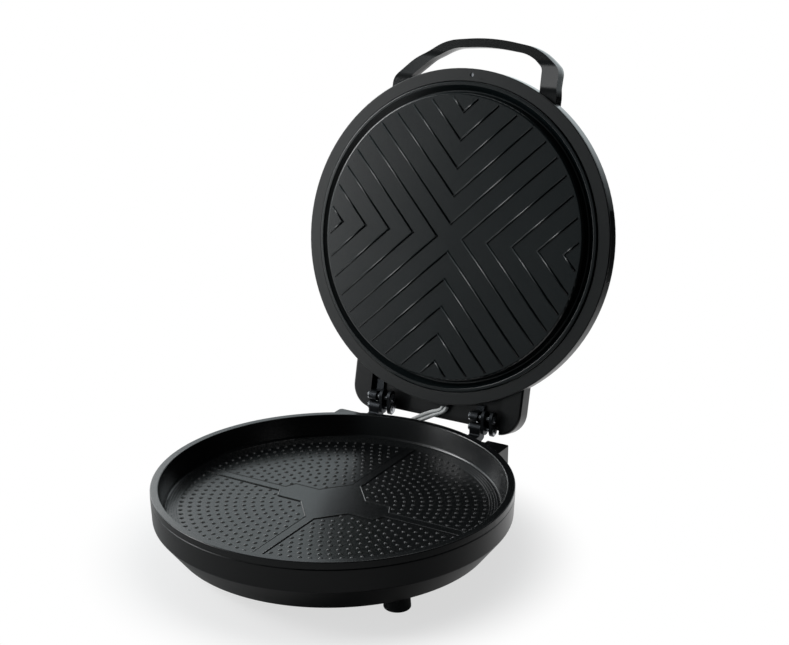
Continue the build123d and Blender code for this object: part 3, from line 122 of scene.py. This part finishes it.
class Nodes:
    """Short calls for building one node tree."""

    def __init__(self, tree):
        self.tree = tree
        tree.nodes.clear()

    def add(self, kind, **settings):
        node = self.tree.nodes.new(kind)
        for key, value in settings.items():
            setattr(node, key, value)
        return node

    def link(self, source, target):
        self.tree.links.new(source, target)

    def put(self, socket, value):
        """Links an output, or sets a plain value."""
        if isinstance(value, bpy.types.NodeSocket):
            self.link(value, socket)
        else:
            socket.default_value = value

    def math(self, operation, a, b=0.0, clamp=False):
        node = self.add("ShaderNodeMath", operation=operation, use_clamp=clamp)
        self.put(node.inputs[0], a)
        self.put(node.inputs[1], b)
        return node.outputs[0]

    def ramp(self, value, *stops):
        """A smooth ramp through (position, grey) stops."""
        node = self.add("ShaderNodeValToRGB")
        node.color_ramp.interpolation = "EASE"
        elements = node.color_ramp.elements
        while len(elements) < len(stops):
            elements.new(0.5)
        for element, (position, grey) in zip(elements, stops):
            element.position = position
            element.color = (grey, grey, grey, 1.0)
        self.link(value, node.inputs[0])
        return node.outputs[0]

    def fading(self, value, start, end, low, high):
        """Runs smoothly from low at start to high at end."""
        node = self.add("ShaderNodeMapRange", interpolation_type="SMOOTHSTEP")
        self.link(value, node.inputs["Value"])
        node.inputs["From Min"].default_value = start
        node.inputs["From Max"].default_value = end
        node.inputs["To Min"].default_value = low
        node.inputs["To Max"].default_value = high
        return node.outputs["Result"]

    def noise(self, coordinates, scale, detail=2.0, roughness=0.5):
        node = self.add("ShaderNodeTexNoise")
        self.link(coordinates, node.inputs["Vector"])
        node.inputs["Scale"].default_value = scale
        node.inputs["Detail"].default_value = detail
        node.inputs["Roughness"].default_value = roughness
        return node.outputs["Fac"]

    def mix(self, factor, a, b):
        """Mixes two colours."""
        node = self.add("ShaderNodeMix", data_type="RGBA")
        self.put(node.inputs["Factor"], factor)
        self.put(node.inputs["A"], a)
        self.put(node.inputs["B"], b)
        return node.outputs["Result"]

    def mix_shaders(self, factor, a, b):
        node = self.add("ShaderNodeMixShader")
        self.put(node.inputs[0], factor)
        self.link(a, node.inputs[1])
        self.link(b, node.inputs[2])
        return node.outputs[0]

    def split(self, vector):
        """The x, y and z of a vector."""
        node = self.add("ShaderNodeSeparateXYZ")
        self.link(vector, node.inputs[0])
        return node.outputs


def studio_world():
    """White to the camera. As light and in reflections a room, darker to the right, in front and above."""
    world = bpy.data.worlds.new("studio")
    bpy.context.scene.world = world
    world.use_nodes = True
    n = Nodes(world.node_tree)
    x, y, z = n.split(n.add("ShaderNodeTexCoord").outputs["Generated"])
    rear = n.fading(y, start=-0.6, end=0.4, low=0.16, high=1.0)
    left = n.fading(x, start=-0.42, end=-0.75, low=0.0, high=1.0)
    right = n.fading(x, start=0.02, end=0.38, low=1.0, high=0.04)
    ceiling = n.fading(z, start=0.4, end=0.9, low=1.0, high=0.3)
    level = n.math("MULTIPLY", n.math("MAXIMUM", rear, left), n.math("MULTIPLY", right, ceiling))
    backdrop = n.add("ShaderNodeBackground")
    backdrop.inputs["Color"].default_value = WHITE
    backdrop.inputs["Strength"].default_value = 1.0
    room = n.add("ShaderNodeBackground")
    room.inputs["Color"].default_value = ROOM_TINT
    n.link(level, room.inputs["Strength"])
    seen_by_camera = n.add("ShaderNodeLightPath").outputs["Is Camera Ray"]
    surface = n.mix_shaders(seen_by_camera, room.outputs[0], backdrop.outputs[0])
    n.link(surface, n.add("ShaderNodeOutputWorld").inputs[0])


def white_table():
    """White to the camera, and to reflections at the rear left, with the object's shadow kept near it. To
    other reflections and as bounce light it is grey, with painted shade that darkens it towards the right.
    """
    material = bpy.data.materials.new("white_table")
    material.use_nodes = True
    n = Nodes(material.node_tree)
    place = n.add("ShaderNodeNewGeometry").outputs["Position"]
    x, y, _ = n.split(place)
    reach = n.add("ShaderNodeVectorMath", operation="DISTANCE")
    n.link(place, reach.inputs[0])
    reach.inputs[1].default_value = (0.0, AXIS_Y, 0.0)
    shaded = n.add("ShaderNodeBsdfDiffuse")
    shaded.inputs["Color"].default_value = TABLE_COLOR
    glow = n.add("ShaderNodeEmission")
    glow.inputs["Color"].default_value = WHITE
    away = n.fading(reach.outputs["Value"], start=0.16, end=0.235, low=0.66, high=1.0)
    white = n.mix_shaders(away, shaded.outputs[0], glow.outputs[0])
    # Painted shade: in other reflections and as bounce light the table is grey, and darkens to near black
    # towards the right
    plain = n.add("ShaderNodeBsdfDiffuse")
    n.link(n.fading(x, start=0.12, end=0.45, low=0.4, high=0.04), plain.inputs["Color"])
    behind = n.fading(y, start=-0.2, end=0.08, low=0.0, high=1.0)
    not_right = n.fading(x, start=0.12, end=0.34, low=1.0, high=0.0)
    rays = n.add("ShaderNodeLightPath").outputs
    mirrored = n.math("MAXIMUM", rays["Is Glossy Ray"], rays["Is Transmission Ray"])
    mirrored_behind = n.math("MULTIPLY", mirrored, n.math("MULTIPLY", behind, not_right))
    shows_white = n.math("MAXIMUM", rays["Is Camera Ray"], mirrored_behind)
    surface = n.mix_shaders(shows_white, plain.outputs[0], white)
    n.link(surface, n.add("ShaderNodeOutputMaterial").inputs[0])
    return material


def pale_floor():
    """The table that the object stands on."""
    s = TABLE_HALF
    mesh = bpy.data.meshes.new("table")
    mesh.from_pydata([(-s, -s, 0), (s, -s, 0), (s, s, 0), (-s, s, 0)], [], [(0, 1, 2, 3)])
    floor = add_object("table", mesh)
    mesh.materials.append(white_table())


# Effects that several finishes share

def effect(name, inputs, outputs):
    """An empty node group with named inputs (name, kind, value) and outputs (name, kind)."""
    group = bpy.data.node_groups.new(name, "ShaderNodeTree")
    for label, kind, value in inputs:
        socket = group.interface.new_socket(name=label, in_out="INPUT", socket_type=kind)
        socket.default_value = value
    for label, kind in outputs:
        group.interface.new_socket(name=label, in_out="OUTPUT", socket_type=kind)
    n = Nodes(group)
    return group, n, n.add("NodeGroupInput"), n.add("NodeGroupOutput")


def uneven_finish():
    """Colour and roughness that drift a little over a surface, with fine specks."""
    group, n, given, made = effect(
        "uneven_finish",
        [("Color", "NodeSocketColor", (0.02, 0.02, 0.02, 1.0)), ("Roughness", "NodeSocketFloat", 0.4),
         ("Drift", "NodeSocketFloat", 0.1), ("Specks", "NodeSocketFloat", 0.1)],
        [("Color", "NodeSocketColor"), ("Roughness", "NodeSocketFloat")])
    place = n.add("ShaderNodeTexCoord").outputs["Object"]
    broad = n.noise(place, scale=9.0, detail=3.0)
    fine = n.noise(place, scale=1500.0, detail=1.0)
    specks = n.ramp(fine, (0.58, 0.0), (0.72, 1.0))
    speck_gain, speck_polish = 6.0, -0.5
    brighter = n.math("MULTIPLY", specks, n.math("MULTIPLY", given.outputs["Specks"], speck_gain))
    lighter = n.add("ShaderNodeHueSaturation")
    n.link(given.outputs["Color"], lighter.inputs["Color"])
    n.link(n.math("ADD", 1.0, brighter), lighter.inputs["Value"])
    n.link(lighter.outputs[0], made.inputs["Color"])
    swing = n.math("MULTIPLY", n.math("SUBTRACT", broad, 0.5), given.outputs["Drift"])
    grit = n.math("MULTIPLY", specks, n.math("MULTIPLY", given.outputs["Specks"], speck_polish))
    roughness = n.math("ADD", given.outputs["Roughness"], n.math("ADD", swing, grit), clamp=True)
    n.link(roughness, made.inputs["Roughness"])
    return group


def fine_grain():
    """Height of a fine moulded or sprayed texture."""
    group, n, given, made = effect(
        "fine_grain",
        [("Scale", "NodeSocketFloat", 900.0), ("Softness", "NodeSocketFloat", 0.5)],
        [("Height", "NodeSocketFloat")])
    cells = n.add("ShaderNodeTexVoronoi", feature="SMOOTH_F1")
    n.link(n.add("ShaderNodeTexCoord").outputs["Object"], cells.inputs["Vector"])
    n.link(given.outputs["Scale"], cells.inputs["Scale"])
    n.link(given.outputs["Softness"], cells.inputs["Smoothness"])
    n.link(cells.outputs["Distance"], made.inputs["Height"])
    return group


def brushed_lines():
    """Streaks of brushing along the object's X."""
    group, n, given, made = effect(
        "brushed_lines",
        [("Roughness", "NodeSocketFloat", 0.3), ("Depth", "NodeSocketFloat", 0.15)],
        [("Roughness", "NodeSocketFloat"), ("Height", "NodeSocketFloat")])
    stretch = n.add("ShaderNodeMapping")
    stretch.inputs["Scale"].default_value = (60.0, 1800.0, 1800.0)
    n.link(n.add("ShaderNodeTexCoord").outputs["Object"], stretch.inputs["Vector"])
    streaks = n.noise(stretch.outputs[0], scale=1.0, detail=3.0, roughness=0.6)
    swing = n.math("MULTIPLY", n.math("SUBTRACT", streaks, 0.5), given.outputs["Depth"])
    n.link(n.math("ADD", given.outputs["Roughness"], swing, clamp=True), made.inputs["Roughness"])
    n.link(streaks, made.inputs["Height"])
    return group


UNEVEN = uneven_finish()
GRAIN = fine_grain()
BRUSHED = brushed_lines()


# Finishes

GRAIN_DEEP = 0.00005
COATING_GRAIN_DEEP = 0.00004
BRUSHING_DEEP = 0.00004
THREAD_DEEP = 0.00008


def use(n, group, **values):
    """Places an effect with its own values."""
    node = n.add("ShaderNodeGroup", node_tree=group)
    for key, value in values.items():
        node.inputs[key].default_value = value
    return node


def new_material(name, **plain):
    """A material with one Principled shader, given the plain values of its sockets."""
    material = bpy.data.materials.new(name)
    material.use_nodes = True
    n = Nodes(material.node_tree)
    surface = n.add("ShaderNodeBsdfPrincipled")
    n.link(surface.outputs[0], n.add("ShaderNodeOutputMaterial").inputs[0])
    for key, value in plain.items():
        surface.inputs[key.replace("_", " ")].default_value = value
    return material, n, surface


def drifting(n, surface, color, roughness, drift, specks):
    """Gives a surface its colour and roughness through the uneven finish."""
    finish = use(n, UNEVEN, Color=(*color, 1.0), Roughness=roughness, Drift=drift, Specks=specks)
    n.link(finish.outputs["Color"], surface.inputs["Base Color"])
    n.link(finish.outputs["Roughness"], surface.inputs["Roughness"])


def bump(n, surface, height, strength, distance):
    """Lets a height bend the surface's normals."""
    node = n.add("ShaderNodeBump")
    node.inputs["Strength"].default_value = strength
    node.inputs["Distance"].default_value = distance
    n.link(height, node.inputs["Height"])
    n.link(node.outputs[0], surface.inputs["Normal"])


def coated_metal(name, color, roughness):
    """Sprayed non-stick coating on cast metal: satin, with tiny flakes."""
    material, n, surface = new_material(name, IOR=1.5)
    drifting(n, surface, color, roughness, drift=0.08, specks=0.25)
    texture = use(n, GRAIN, Scale=1400.0, Softness=0.6)
    bump(n, surface, texture.outputs["Height"], strength=0.12, distance=COATING_GRAIN_DEEP)
    return material


def moulded_plastic(name, color, roughness, scale=1100.0, grain=0.25):
    """Moulded plastic, ceramic or rubber with a fine matt grain."""
    material, n, surface = new_material(name, IOR=1.48)
    drifting(n, surface, color, roughness, drift=0.1, specks=0.03)
    texture = use(n, GRAIN, Scale=scale, Softness=0.5)
    bump(n, surface, texture.outputs["Height"], strength=grain, distance=GRAIN_DEEP)
    return material


def polished_plastic(name, color):
    """High-gloss moulding whose polish drifts a little."""
    material, n, surface = new_material(name, IOR=1.52, Coat_Weight=0.4, Coat_Roughness=0.03)
    drifting(n, surface, color, roughness=0.07, drift=0.04, specks=0.0)
    return material


def brushed_metal(name, color, roughness, depth=0.15):
    """Drawn or turned metal with fine streaks."""
    material, n, surface = new_material(name, Base_Color=(*color, 1.0), Metallic=1.0)
    finish = use(n, BRUSHED, Roughness=roughness, Depth=depth)
    n.link(finish.outputs["Roughness"], surface.inputs["Roughness"])
    bump(n, surface, finish.outputs["Height"], strength=0.08, distance=BRUSHING_DEEP)
    return material


def tinted_lens(name, color):
    """Tinted clear plastic, unlit."""
    material, n, surface = new_material(name, Coat_Weight=0.6, Coat_Roughness=0.04, Subsurface_Weight=0.2,
                                        Subsurface_Radius=(0.004, 0.002, 0.002))
    drifting(n, surface, color, roughness=0.12, drift=0.03, specks=0.0)
    return material


def woven_sleeve(name, color):
    """Dull, slightly fuzzy fibre sleeve, its threads a fine noise."""
    material, n, surface = new_material(name, Roughness=0.75, Sheen_Weight=0.3, Sheen_Roughness=0.5)
    threads = n.noise(n.add("ShaderNodeTexCoord").outputs["Object"], scale=2600.0)
    shade = 0.72
    darker = tuple(c * shade for c in color)
    n.link(n.mix(threads, (*darker, 1.0), (*color, 1.0)), surface.inputs["Base Color"])
    bump(n, surface, threads, strength=0.25, distance=THREAD_DEEP)
    return material


FINISHES = {
    "pan_coating": coated_metal("pan_coating", (0.0032, 0.0037, 0.004), 0.25),
    "plate_coating": coated_metal("plate_coating", (0.0035, 0.006, 0.0067), 0.25),
    "matt_housing": moulded_plastic("matt_housing", (0.0035, 0.0036, 0.004), 0.3),
    "gloss_cover": polished_plastic("gloss_cover", (0.002, 0.0021, 0.0023)),
    "ring_plastic": moulded_plastic("ring_plastic", (0.005, 0.0062, 0.0065), 0.36, grain=0.2),
    "handle_satin": moulded_plastic("handle_satin", (0.004, 0.0042, 0.0046), 0.24, grain=0.15),
    "foot_rubber": moulded_plastic("foot_rubber", (0.011, 0.012, 0.014), 0.62, scale=700.0, grain=0.3),
    "hinge_steel": brushed_metal("hinge_steel", (0.04, 0.043, 0.047), 0.4),
    "pin_steel": brushed_metal("pin_steel", (0.42, 0.43, 0.45), 0.25),
    "screw_steel": brushed_metal("screw_steel", (0.4, 0.41, 0.43), 0.3),
    "shield_steel": brushed_metal("shield_steel", (0.6, 0.61, 0.63), 0.22, depth=0.2),
    "element_steel": brushed_metal("element_steel", (0.2, 0.2, 0.19), 0.45),
    "brass_parts": brushed_metal("brass_parts", (0.68, 0.5, 0.22), 0.25),
    "ceramic": moulded_plastic("ceramic", (0.72, 0.7, 0.64), 0.25, grain=0.05),
    "sensor_case": brushed_metal("sensor_case", (0.45, 0.46, 0.47), 0.35),
    "fuse_sleeve": woven_sleeve("fuse_sleeve", (0.62, 0.58, 0.48)),
    "lead_sleeve": woven_sleeve("lead_sleeve", (0.74, 0.76, 0.755)),
    "wire_cover": moulded_plastic("wire_cover", (0.55, 0.52, 0.47), 0.45, grain=0.05),
    "red_lens": tinted_lens("red_lens", (0.35, 0.012, 0.008)),
    "green_lens": tinted_lens("green_lens", (0.012, 0.22, 0.04)),
}


def finish_nodes():
    """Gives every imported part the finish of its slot."""
    for part in frame["record"]["subparts"]:
        mesh = frame["nodes"][part["node"]].data
        mesh.materials.clear()
        mesh.materials.append(FINISHES[part["material_slot"]])


# Meshes

def new_piece(name, verts, faces, slot, smooth="all"):
    """A new piece from points in metres, shaded smooth all over, only on four-sided faces, or nowhere."""
    mesh = bpy.data.meshes.new(name)
    mesh.from_pydata(verts, [], faces)
    mesh.validate()
    for polygon in mesh.polygons:
        polygon.use_smooth = smooth == "all" or (smooth == "sides" and len(polygon.vertices) == 4)
    mesh.materials.append(FINISHES[slot])
    piece = add_object(name, mesh)
    return piece


def about_pan_axis(points):
    """Metres in the frame from millimetres about the pan's axis."""
    return [(x * MM, y * MM + AXIS_Y, z * MM) for x, y, z in points]


def add_bar(verts, faces, sections):
    """Adds a bar through sections, closed at both ends."""
    start, count = len(verts), len(sections[0])
    for section in sections:
        verts += section
    last = len(verts) - count
    for a in range(start, last, count):
        for k in range(count):
            m = (k + 1) % count
            faces.append((a + k, a + m, a + count + m, a + count + k))
    faces.append(tuple(reversed(range(start, start + count))))
    faces.append(tuple(range(last, last + count)))


# Fine relief of the lower pan's floor, in millimetres about the pan's axis

SEAM_HALF = 4.4
SEAM_END = 139.0
SEAM_TOP = 0.5
RIBBON_HALF_WIDE = 14.5
RIBBON_HALF_LONG = 50.0
RIBBON_REACH = 55.0
RIBBON_SLANT = 0.5
DIAMOND_HALF = 25.0
DIAMOND_REACH = 39.0
QUARTERS = ((1, 1), (-1, 1), (-1, -1), (1, -1))

BUMP_PITCH = 8.6
BUMP_ROW_PITCH = BUMP_PITCH * 0.9
BUMP_EDGE = 136.0
BUMP_CLEAR = 2.6
BUMP_SIDES = 10
BUMP_RINGS = ((2.15, 0.0), (1.8, 0.2), (1.3, 0.52), (0.7, 0.74))
BUMP_TOP = 0.82
BUMP_SUNK = 0.03

TERRACE_START = 139.2
TERRACE_WIDE = 2.3
TERRACE_RISE = 0.3
TERRACE_SLOPE_WIDE = 0.35
TERRACE_FOOT_UP = 0.02
TERRACE_LIP_WIDE = 0.2
TERRACE_LIP_UP = 0.03
TERRACES = 4
TERRACE_SUNK = 0.2
TERRACE_SEGMENTS = 256

BEAD = ((-1.0, 0.0), (-0.5, 0.75), (0.0, 1.0), (0.5, 0.75), (1.0, 0.0))
BEAD_HALF = 0.75
BEAD_TALL = 0.3
BEAD_SUNK = 0.15
MITRE_LIMIT = 0.4


def on_smooth_part(x, y, margin):
    """Whether a point of the floor lies on or near the smooth seams and centre."""
    x, y = abs(x), abs(y)
    if x < SEAM_HALF + margin or y < SEAM_HALF + margin:
        return True
    ribbon_end = RIBBON_HALF_LONG + (RIBBON_HALF_WIDE - min(y, RIBBON_HALF_WIDE)) * RIBBON_SLANT
    if y < RIBBON_HALF_WIDE + margin and x < ribbon_end + margin:
        return True
    lean = (DIAMOND_HALF - SEAM_HALF) / (DIAMOND_REACH - RIBBON_HALF_WIDE)
    slanted_margin = margin * 1.3
    return y < DIAMOND_REACH + margin and x < SEAM_HALF + (DIAMOND_REACH - y) * lean + slanted_margin


def bump_places():
    """Staggered rows on circles about the pan's axis."""
    rows = int(BUMP_EDGE / BUMP_ROW_PITCH)
    for row in range(1, rows + 1):
        radius = BUMP_EDGE * row / rows
        count = max(6, round(2 * math.pi * radius / BUMP_PITCH / 4) * 4)
        for i in range(count):
            turn = 2 * math.pi * (i + (0.5 if row % 2 else 0.0)) / count
            x, y = radius * math.cos(turn), radius * math.sin(turn)
            if not on_smooth_part(x, y, BUMP_CLEAR):
                yield x, y


def floor_bumps():
    """Low domes all over the pan's floor, each a closed form sunk a little into it."""
    sides = BUMP_SIDES
    base = FLOOR_Z / MM - BUMP_SUNK
    verts, faces = [], []
    for x, y in bump_places():
        start = len(verts)
        for radius, height in BUMP_RINGS:
            for i in range(sides):
                turn = 2 * math.pi * i / sides
                verts.append((x + radius * math.cos(turn), y + radius * math.sin(turn), base + height))
        last = len(verts) - sides
        for ring in range(start, last, sides):
            for i in range(sides):
                j = (i + 1) % sides
                faces.append((ring + i, ring + j, ring + sides + j, ring + sides + i))
        verts.append((x, y, base + BUMP_TOP))
        for i in range(sides):
            faces.append((last + i, last + (i + 1) % sides, len(verts) - 1))
        faces.append(tuple(reversed(range(start, start + sides))))
    piece = new_piece("pan_floor_bumps", about_pan_axis(verts), faces, "pan_coating")
    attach(piece, "base")


def floor_terraces():
    """Fine steps that ring the floor below the pan's wall."""
    z = FLOOR_Z / MM
    profile = [(TERRACE_START, z - TERRACE_SUNK)]
    for i in range(TERRACES):
        start = TERRACE_START + i * TERRACE_WIDE
        top = z + TERRACE_RISE * (i + 1)
        profile.append((start, z + TERRACE_RISE * i + TERRACE_FOOT_UP))
        profile.append((start + TERRACE_SLOPE_WIDE, top))
        profile.append((start + TERRACE_WIDE - TERRACE_LIP_WIDE, top + TERRACE_LIP_UP))
    end = TERRACE_START + TERRACES * TERRACE_WIDE
    profile += [(end, z + TERRACE_RISE * TERRACES), (end, z - TERRACE_SUNK)]
    count = len(profile)
    verts, faces = [], []
    for i in range(TERRACE_SEGMENTS):
        turn = 2 * math.pi * i / TERRACE_SEGMENTS
        verts += [(r * math.cos(turn), r * math.sin(turn), height) for r, height in profile]
        here, there = i * count, (i + 1) % TERRACE_SEGMENTS * count
        for k in range(count):
            m = (k + 1) % count
            faces.append((here + m, there + m, there + k, here + k))
    piece = new_piece("pan_floor_terraces", about_pan_axis(verts), faces, "pan_coating", smooth="none")
    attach(piece, "base")


def seam_beads():
    """Fine raised lines along the edges of the smooth seams and centre."""
    edge = ((SEAM_END, SEAM_HALF), (RIBBON_REACH, SEAM_HALF), (RIBBON_HALF_LONG, RIBBON_HALF_WIDE),
            (DIAMOND_HALF, RIBBON_HALF_WIDE), (SEAM_HALF, DIAMOND_REACH), (SEAM_HALF, SEAM_END))
    base = FLOOR_Z / MM + SEAM_TOP - BEAD_SUNK
    count = len(BEAD)
    verts, faces = [], []
    for mirror_x, mirror_y in QUARTERS:
        mirrored = mirror_x * mirror_y < 0
        points = [Vector((x * mirror_x, y * mirror_y)) for x, y in edge]
        ways = [(b - a).normalized() for a, b in zip(points, points[1:])]
        start = len(verts)
        for i, point in enumerate(points):
            back, ahead = ways[max(i - 1, 0)], ways[min(i, len(ways) - 1)]
            along = (back + ahead).normalized()
            side = Vector((-along.y, along.x)) / max(along.dot(back), MITRE_LIMIT)
            for across, up in BEAD:
                at = point + side * (across * BEAD_HALF)
                verts.append((at.x, at.y, base + up * (BEAD_TALL + BEAD_SUNK)))
        last = len(verts) - count
        for a in range(start, last, count):
            b = a + count
            for k in range(count):
                m = (k + 1) % count
                face = (a + k, a + m, b + m, b + k)
                faces.append(face if mirrored else tuple(reversed(face)))
        faces.append(tuple(range(start, start + count)))
        faces.append(tuple(reversed(range(last, last + count))))
    piece = new_piece("pan_seam_beads", about_pan_axis(verts), faces, "pan_coating", smooth="none")
    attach(piece, "base")


# Rounded crests of the upper plate's ribs, in millimetres about the lid's own axis

LID_OPEN = math.radians(103.0)
LID_CENTRE = (0.0, 219.0 * MM + AXIS_Y, 236.05 * MM)
LID_PLACE = Matrix.Translation(LID_CENTRE) @ Matrix.Rotation(-LID_OPEN, 4, "X")
LID_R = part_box("lid_frame")[1].x / MM
PLATE_EDGE_WIDE = 24.3
PLATE_FLOOR_R = LID_R - PLATE_EDGE_WIDE
PLATE_PROUD = 7.7
RIB_COUNT = 5
RIB_END_GAP = 3.8
RIB_END_R = PLATE_FLOOR_R - RIB_END_GAP
RIB_SPREAD = 0.897
RIB_PITCH = RIB_SPREAD * RIB_END_R / (RIB_COUNT - 0.5)
CREST_START = -0.9
CREST = ((1.2, 0.0), (0.92, 0.55), (0.56, 0.92), (0.22, 1.1),
         (-0.22, 1.1), (-0.56, 0.92), (-0.92, 0.55), (-1.2, 0.0))


def rib_crests():
    """A soft rounded crest over each straight rib, nested in V shapes in the four quarters."""
    verts, faces = [], []
    for k in range(RIB_COUNT):
        apex = (k + 0.5) * RIB_PITCH
        long = (math.sqrt(4 * RIB_END_R ** 2 - 2 * apex ** 2) - math.sqrt(2) * apex) / 2
        for quarter in range(4):
            for lean in (-45, 45):
                turn = (Matrix.Rotation(math.radians(quarter * 90), 4, "Z") @ Matrix.Translation((apex, 0, 0))
                        @ Matrix.Rotation(math.radians(lean), 4, "Z"))
                sections = []
                for along in (CREST_START, long):
                    points = [turn @ Vector((along, across, -PLATE_PROUD - up)) for across, up in CREST]
                    sections.append([LID_PLACE @ (point * MM) for point in points])
                add_bar(verts, faces, sections)
    piece = new_piece("plate_rib_crests", verts, faces, "plate_coating", smooth="sides")
    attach(piece, "lid")


# Lead between base and lid: two braided sleeves, their routes in millimetres about the pan's axis

SLEEVE_RADIUS = 2.0 * MM
SLEEVE_SIDES = 20
ROUTE_STEPS = 14
LEAD_ROUTES = {
    "left": ((-32.15, 164.5, 48.1), (-32.15, 177.0, 48.1), (-21.15, 182.0, 55.6), (-5.15, 187.0, 64.6),
             (7.85, 187.517, 68.545), (7.85, 188.529, 72.93)),
    "right": ((-27.85, 164.5, 45.9), (-27.85, 177.0, 45.9), (-16.85, 182.0, 53.4), (-0.85, 187.0, 62.4),
              (12.15, 187.517, 68.545), (12.15, 188.529, 72.93)),
}


def smooth_line(name, route):
    """Points along the smooth curve that a route's points control, in metres."""
    data = bpy.data.curves.new(name, "CURVE")
    data.dimensions = "3D"
    data.resolution_u = ROUTE_STEPS
    spline = data.splines.new("NURBS")
    spline.points.add(len(route) - 1)
    for handle, place in zip(spline.points, about_pan_axis(route)):
        handle.co = (*place, 1.0)
    spline.order_u = 3
    spline.use_endpoint_u = True
    curve = add_object(name, data)
    bpy.context.view_layer.update()
    mesh = bpy.data.meshes.new_from_object(curve)
    line = [vert.co.copy() for vert in mesh.vertices]
    bpy.data.objects.remove(curve)
    bpy.data.curves.remove(data)
    bpy.data.meshes.remove(mesh)
    return line


def sleeve_tube(name, line):
    """A braided sleeve round a line, with closed ends."""
    sections = []
    guide = Vector((1.0, 0.0, 0.0))
    for i, point in enumerate(line):
        along = (line[min(i + 1, len(line) - 1)] - line[max(i - 1, 0)]).normalized()
        guide = (guide - along * guide.dot(along)).normalized()
        other = along.cross(guide)
        turns = [2 * math.pi * k / SLEEVE_SIDES for k in range(SLEEVE_SIDES)]
        sections.append([point + (guide * math.cos(turn) + other * math.sin(turn)) * SLEEVE_RADIUS
                         for turn in turns])
    verts, faces = [], []
    add_bar(verts, faces, sections)
    return new_piece(name, verts, faces, "lead_sleeve", smooth="sides")


def braided_lead():
    """Each sleeve runs from its grommet in the base to the one in the lid."""
    for side, route in LEAD_ROUTES.items():
        line = smooth_line(f"route_{side}", route)
        piece = sleeve_tube(f"lead_sleeve_{side}", line)
        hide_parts("lid_lead")
        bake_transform(piece)


photo_camera()
braided_lead()
studio_world()
pale_floor()
for name, settings in SOFTBOXES.items():
    softbox(name, *settings)
finish_nodes()
floor_bumps()
floor_terraces()
seam_beads()
rib_crests()

bpy.context.scene.view_settings.view_transform = "Standard"
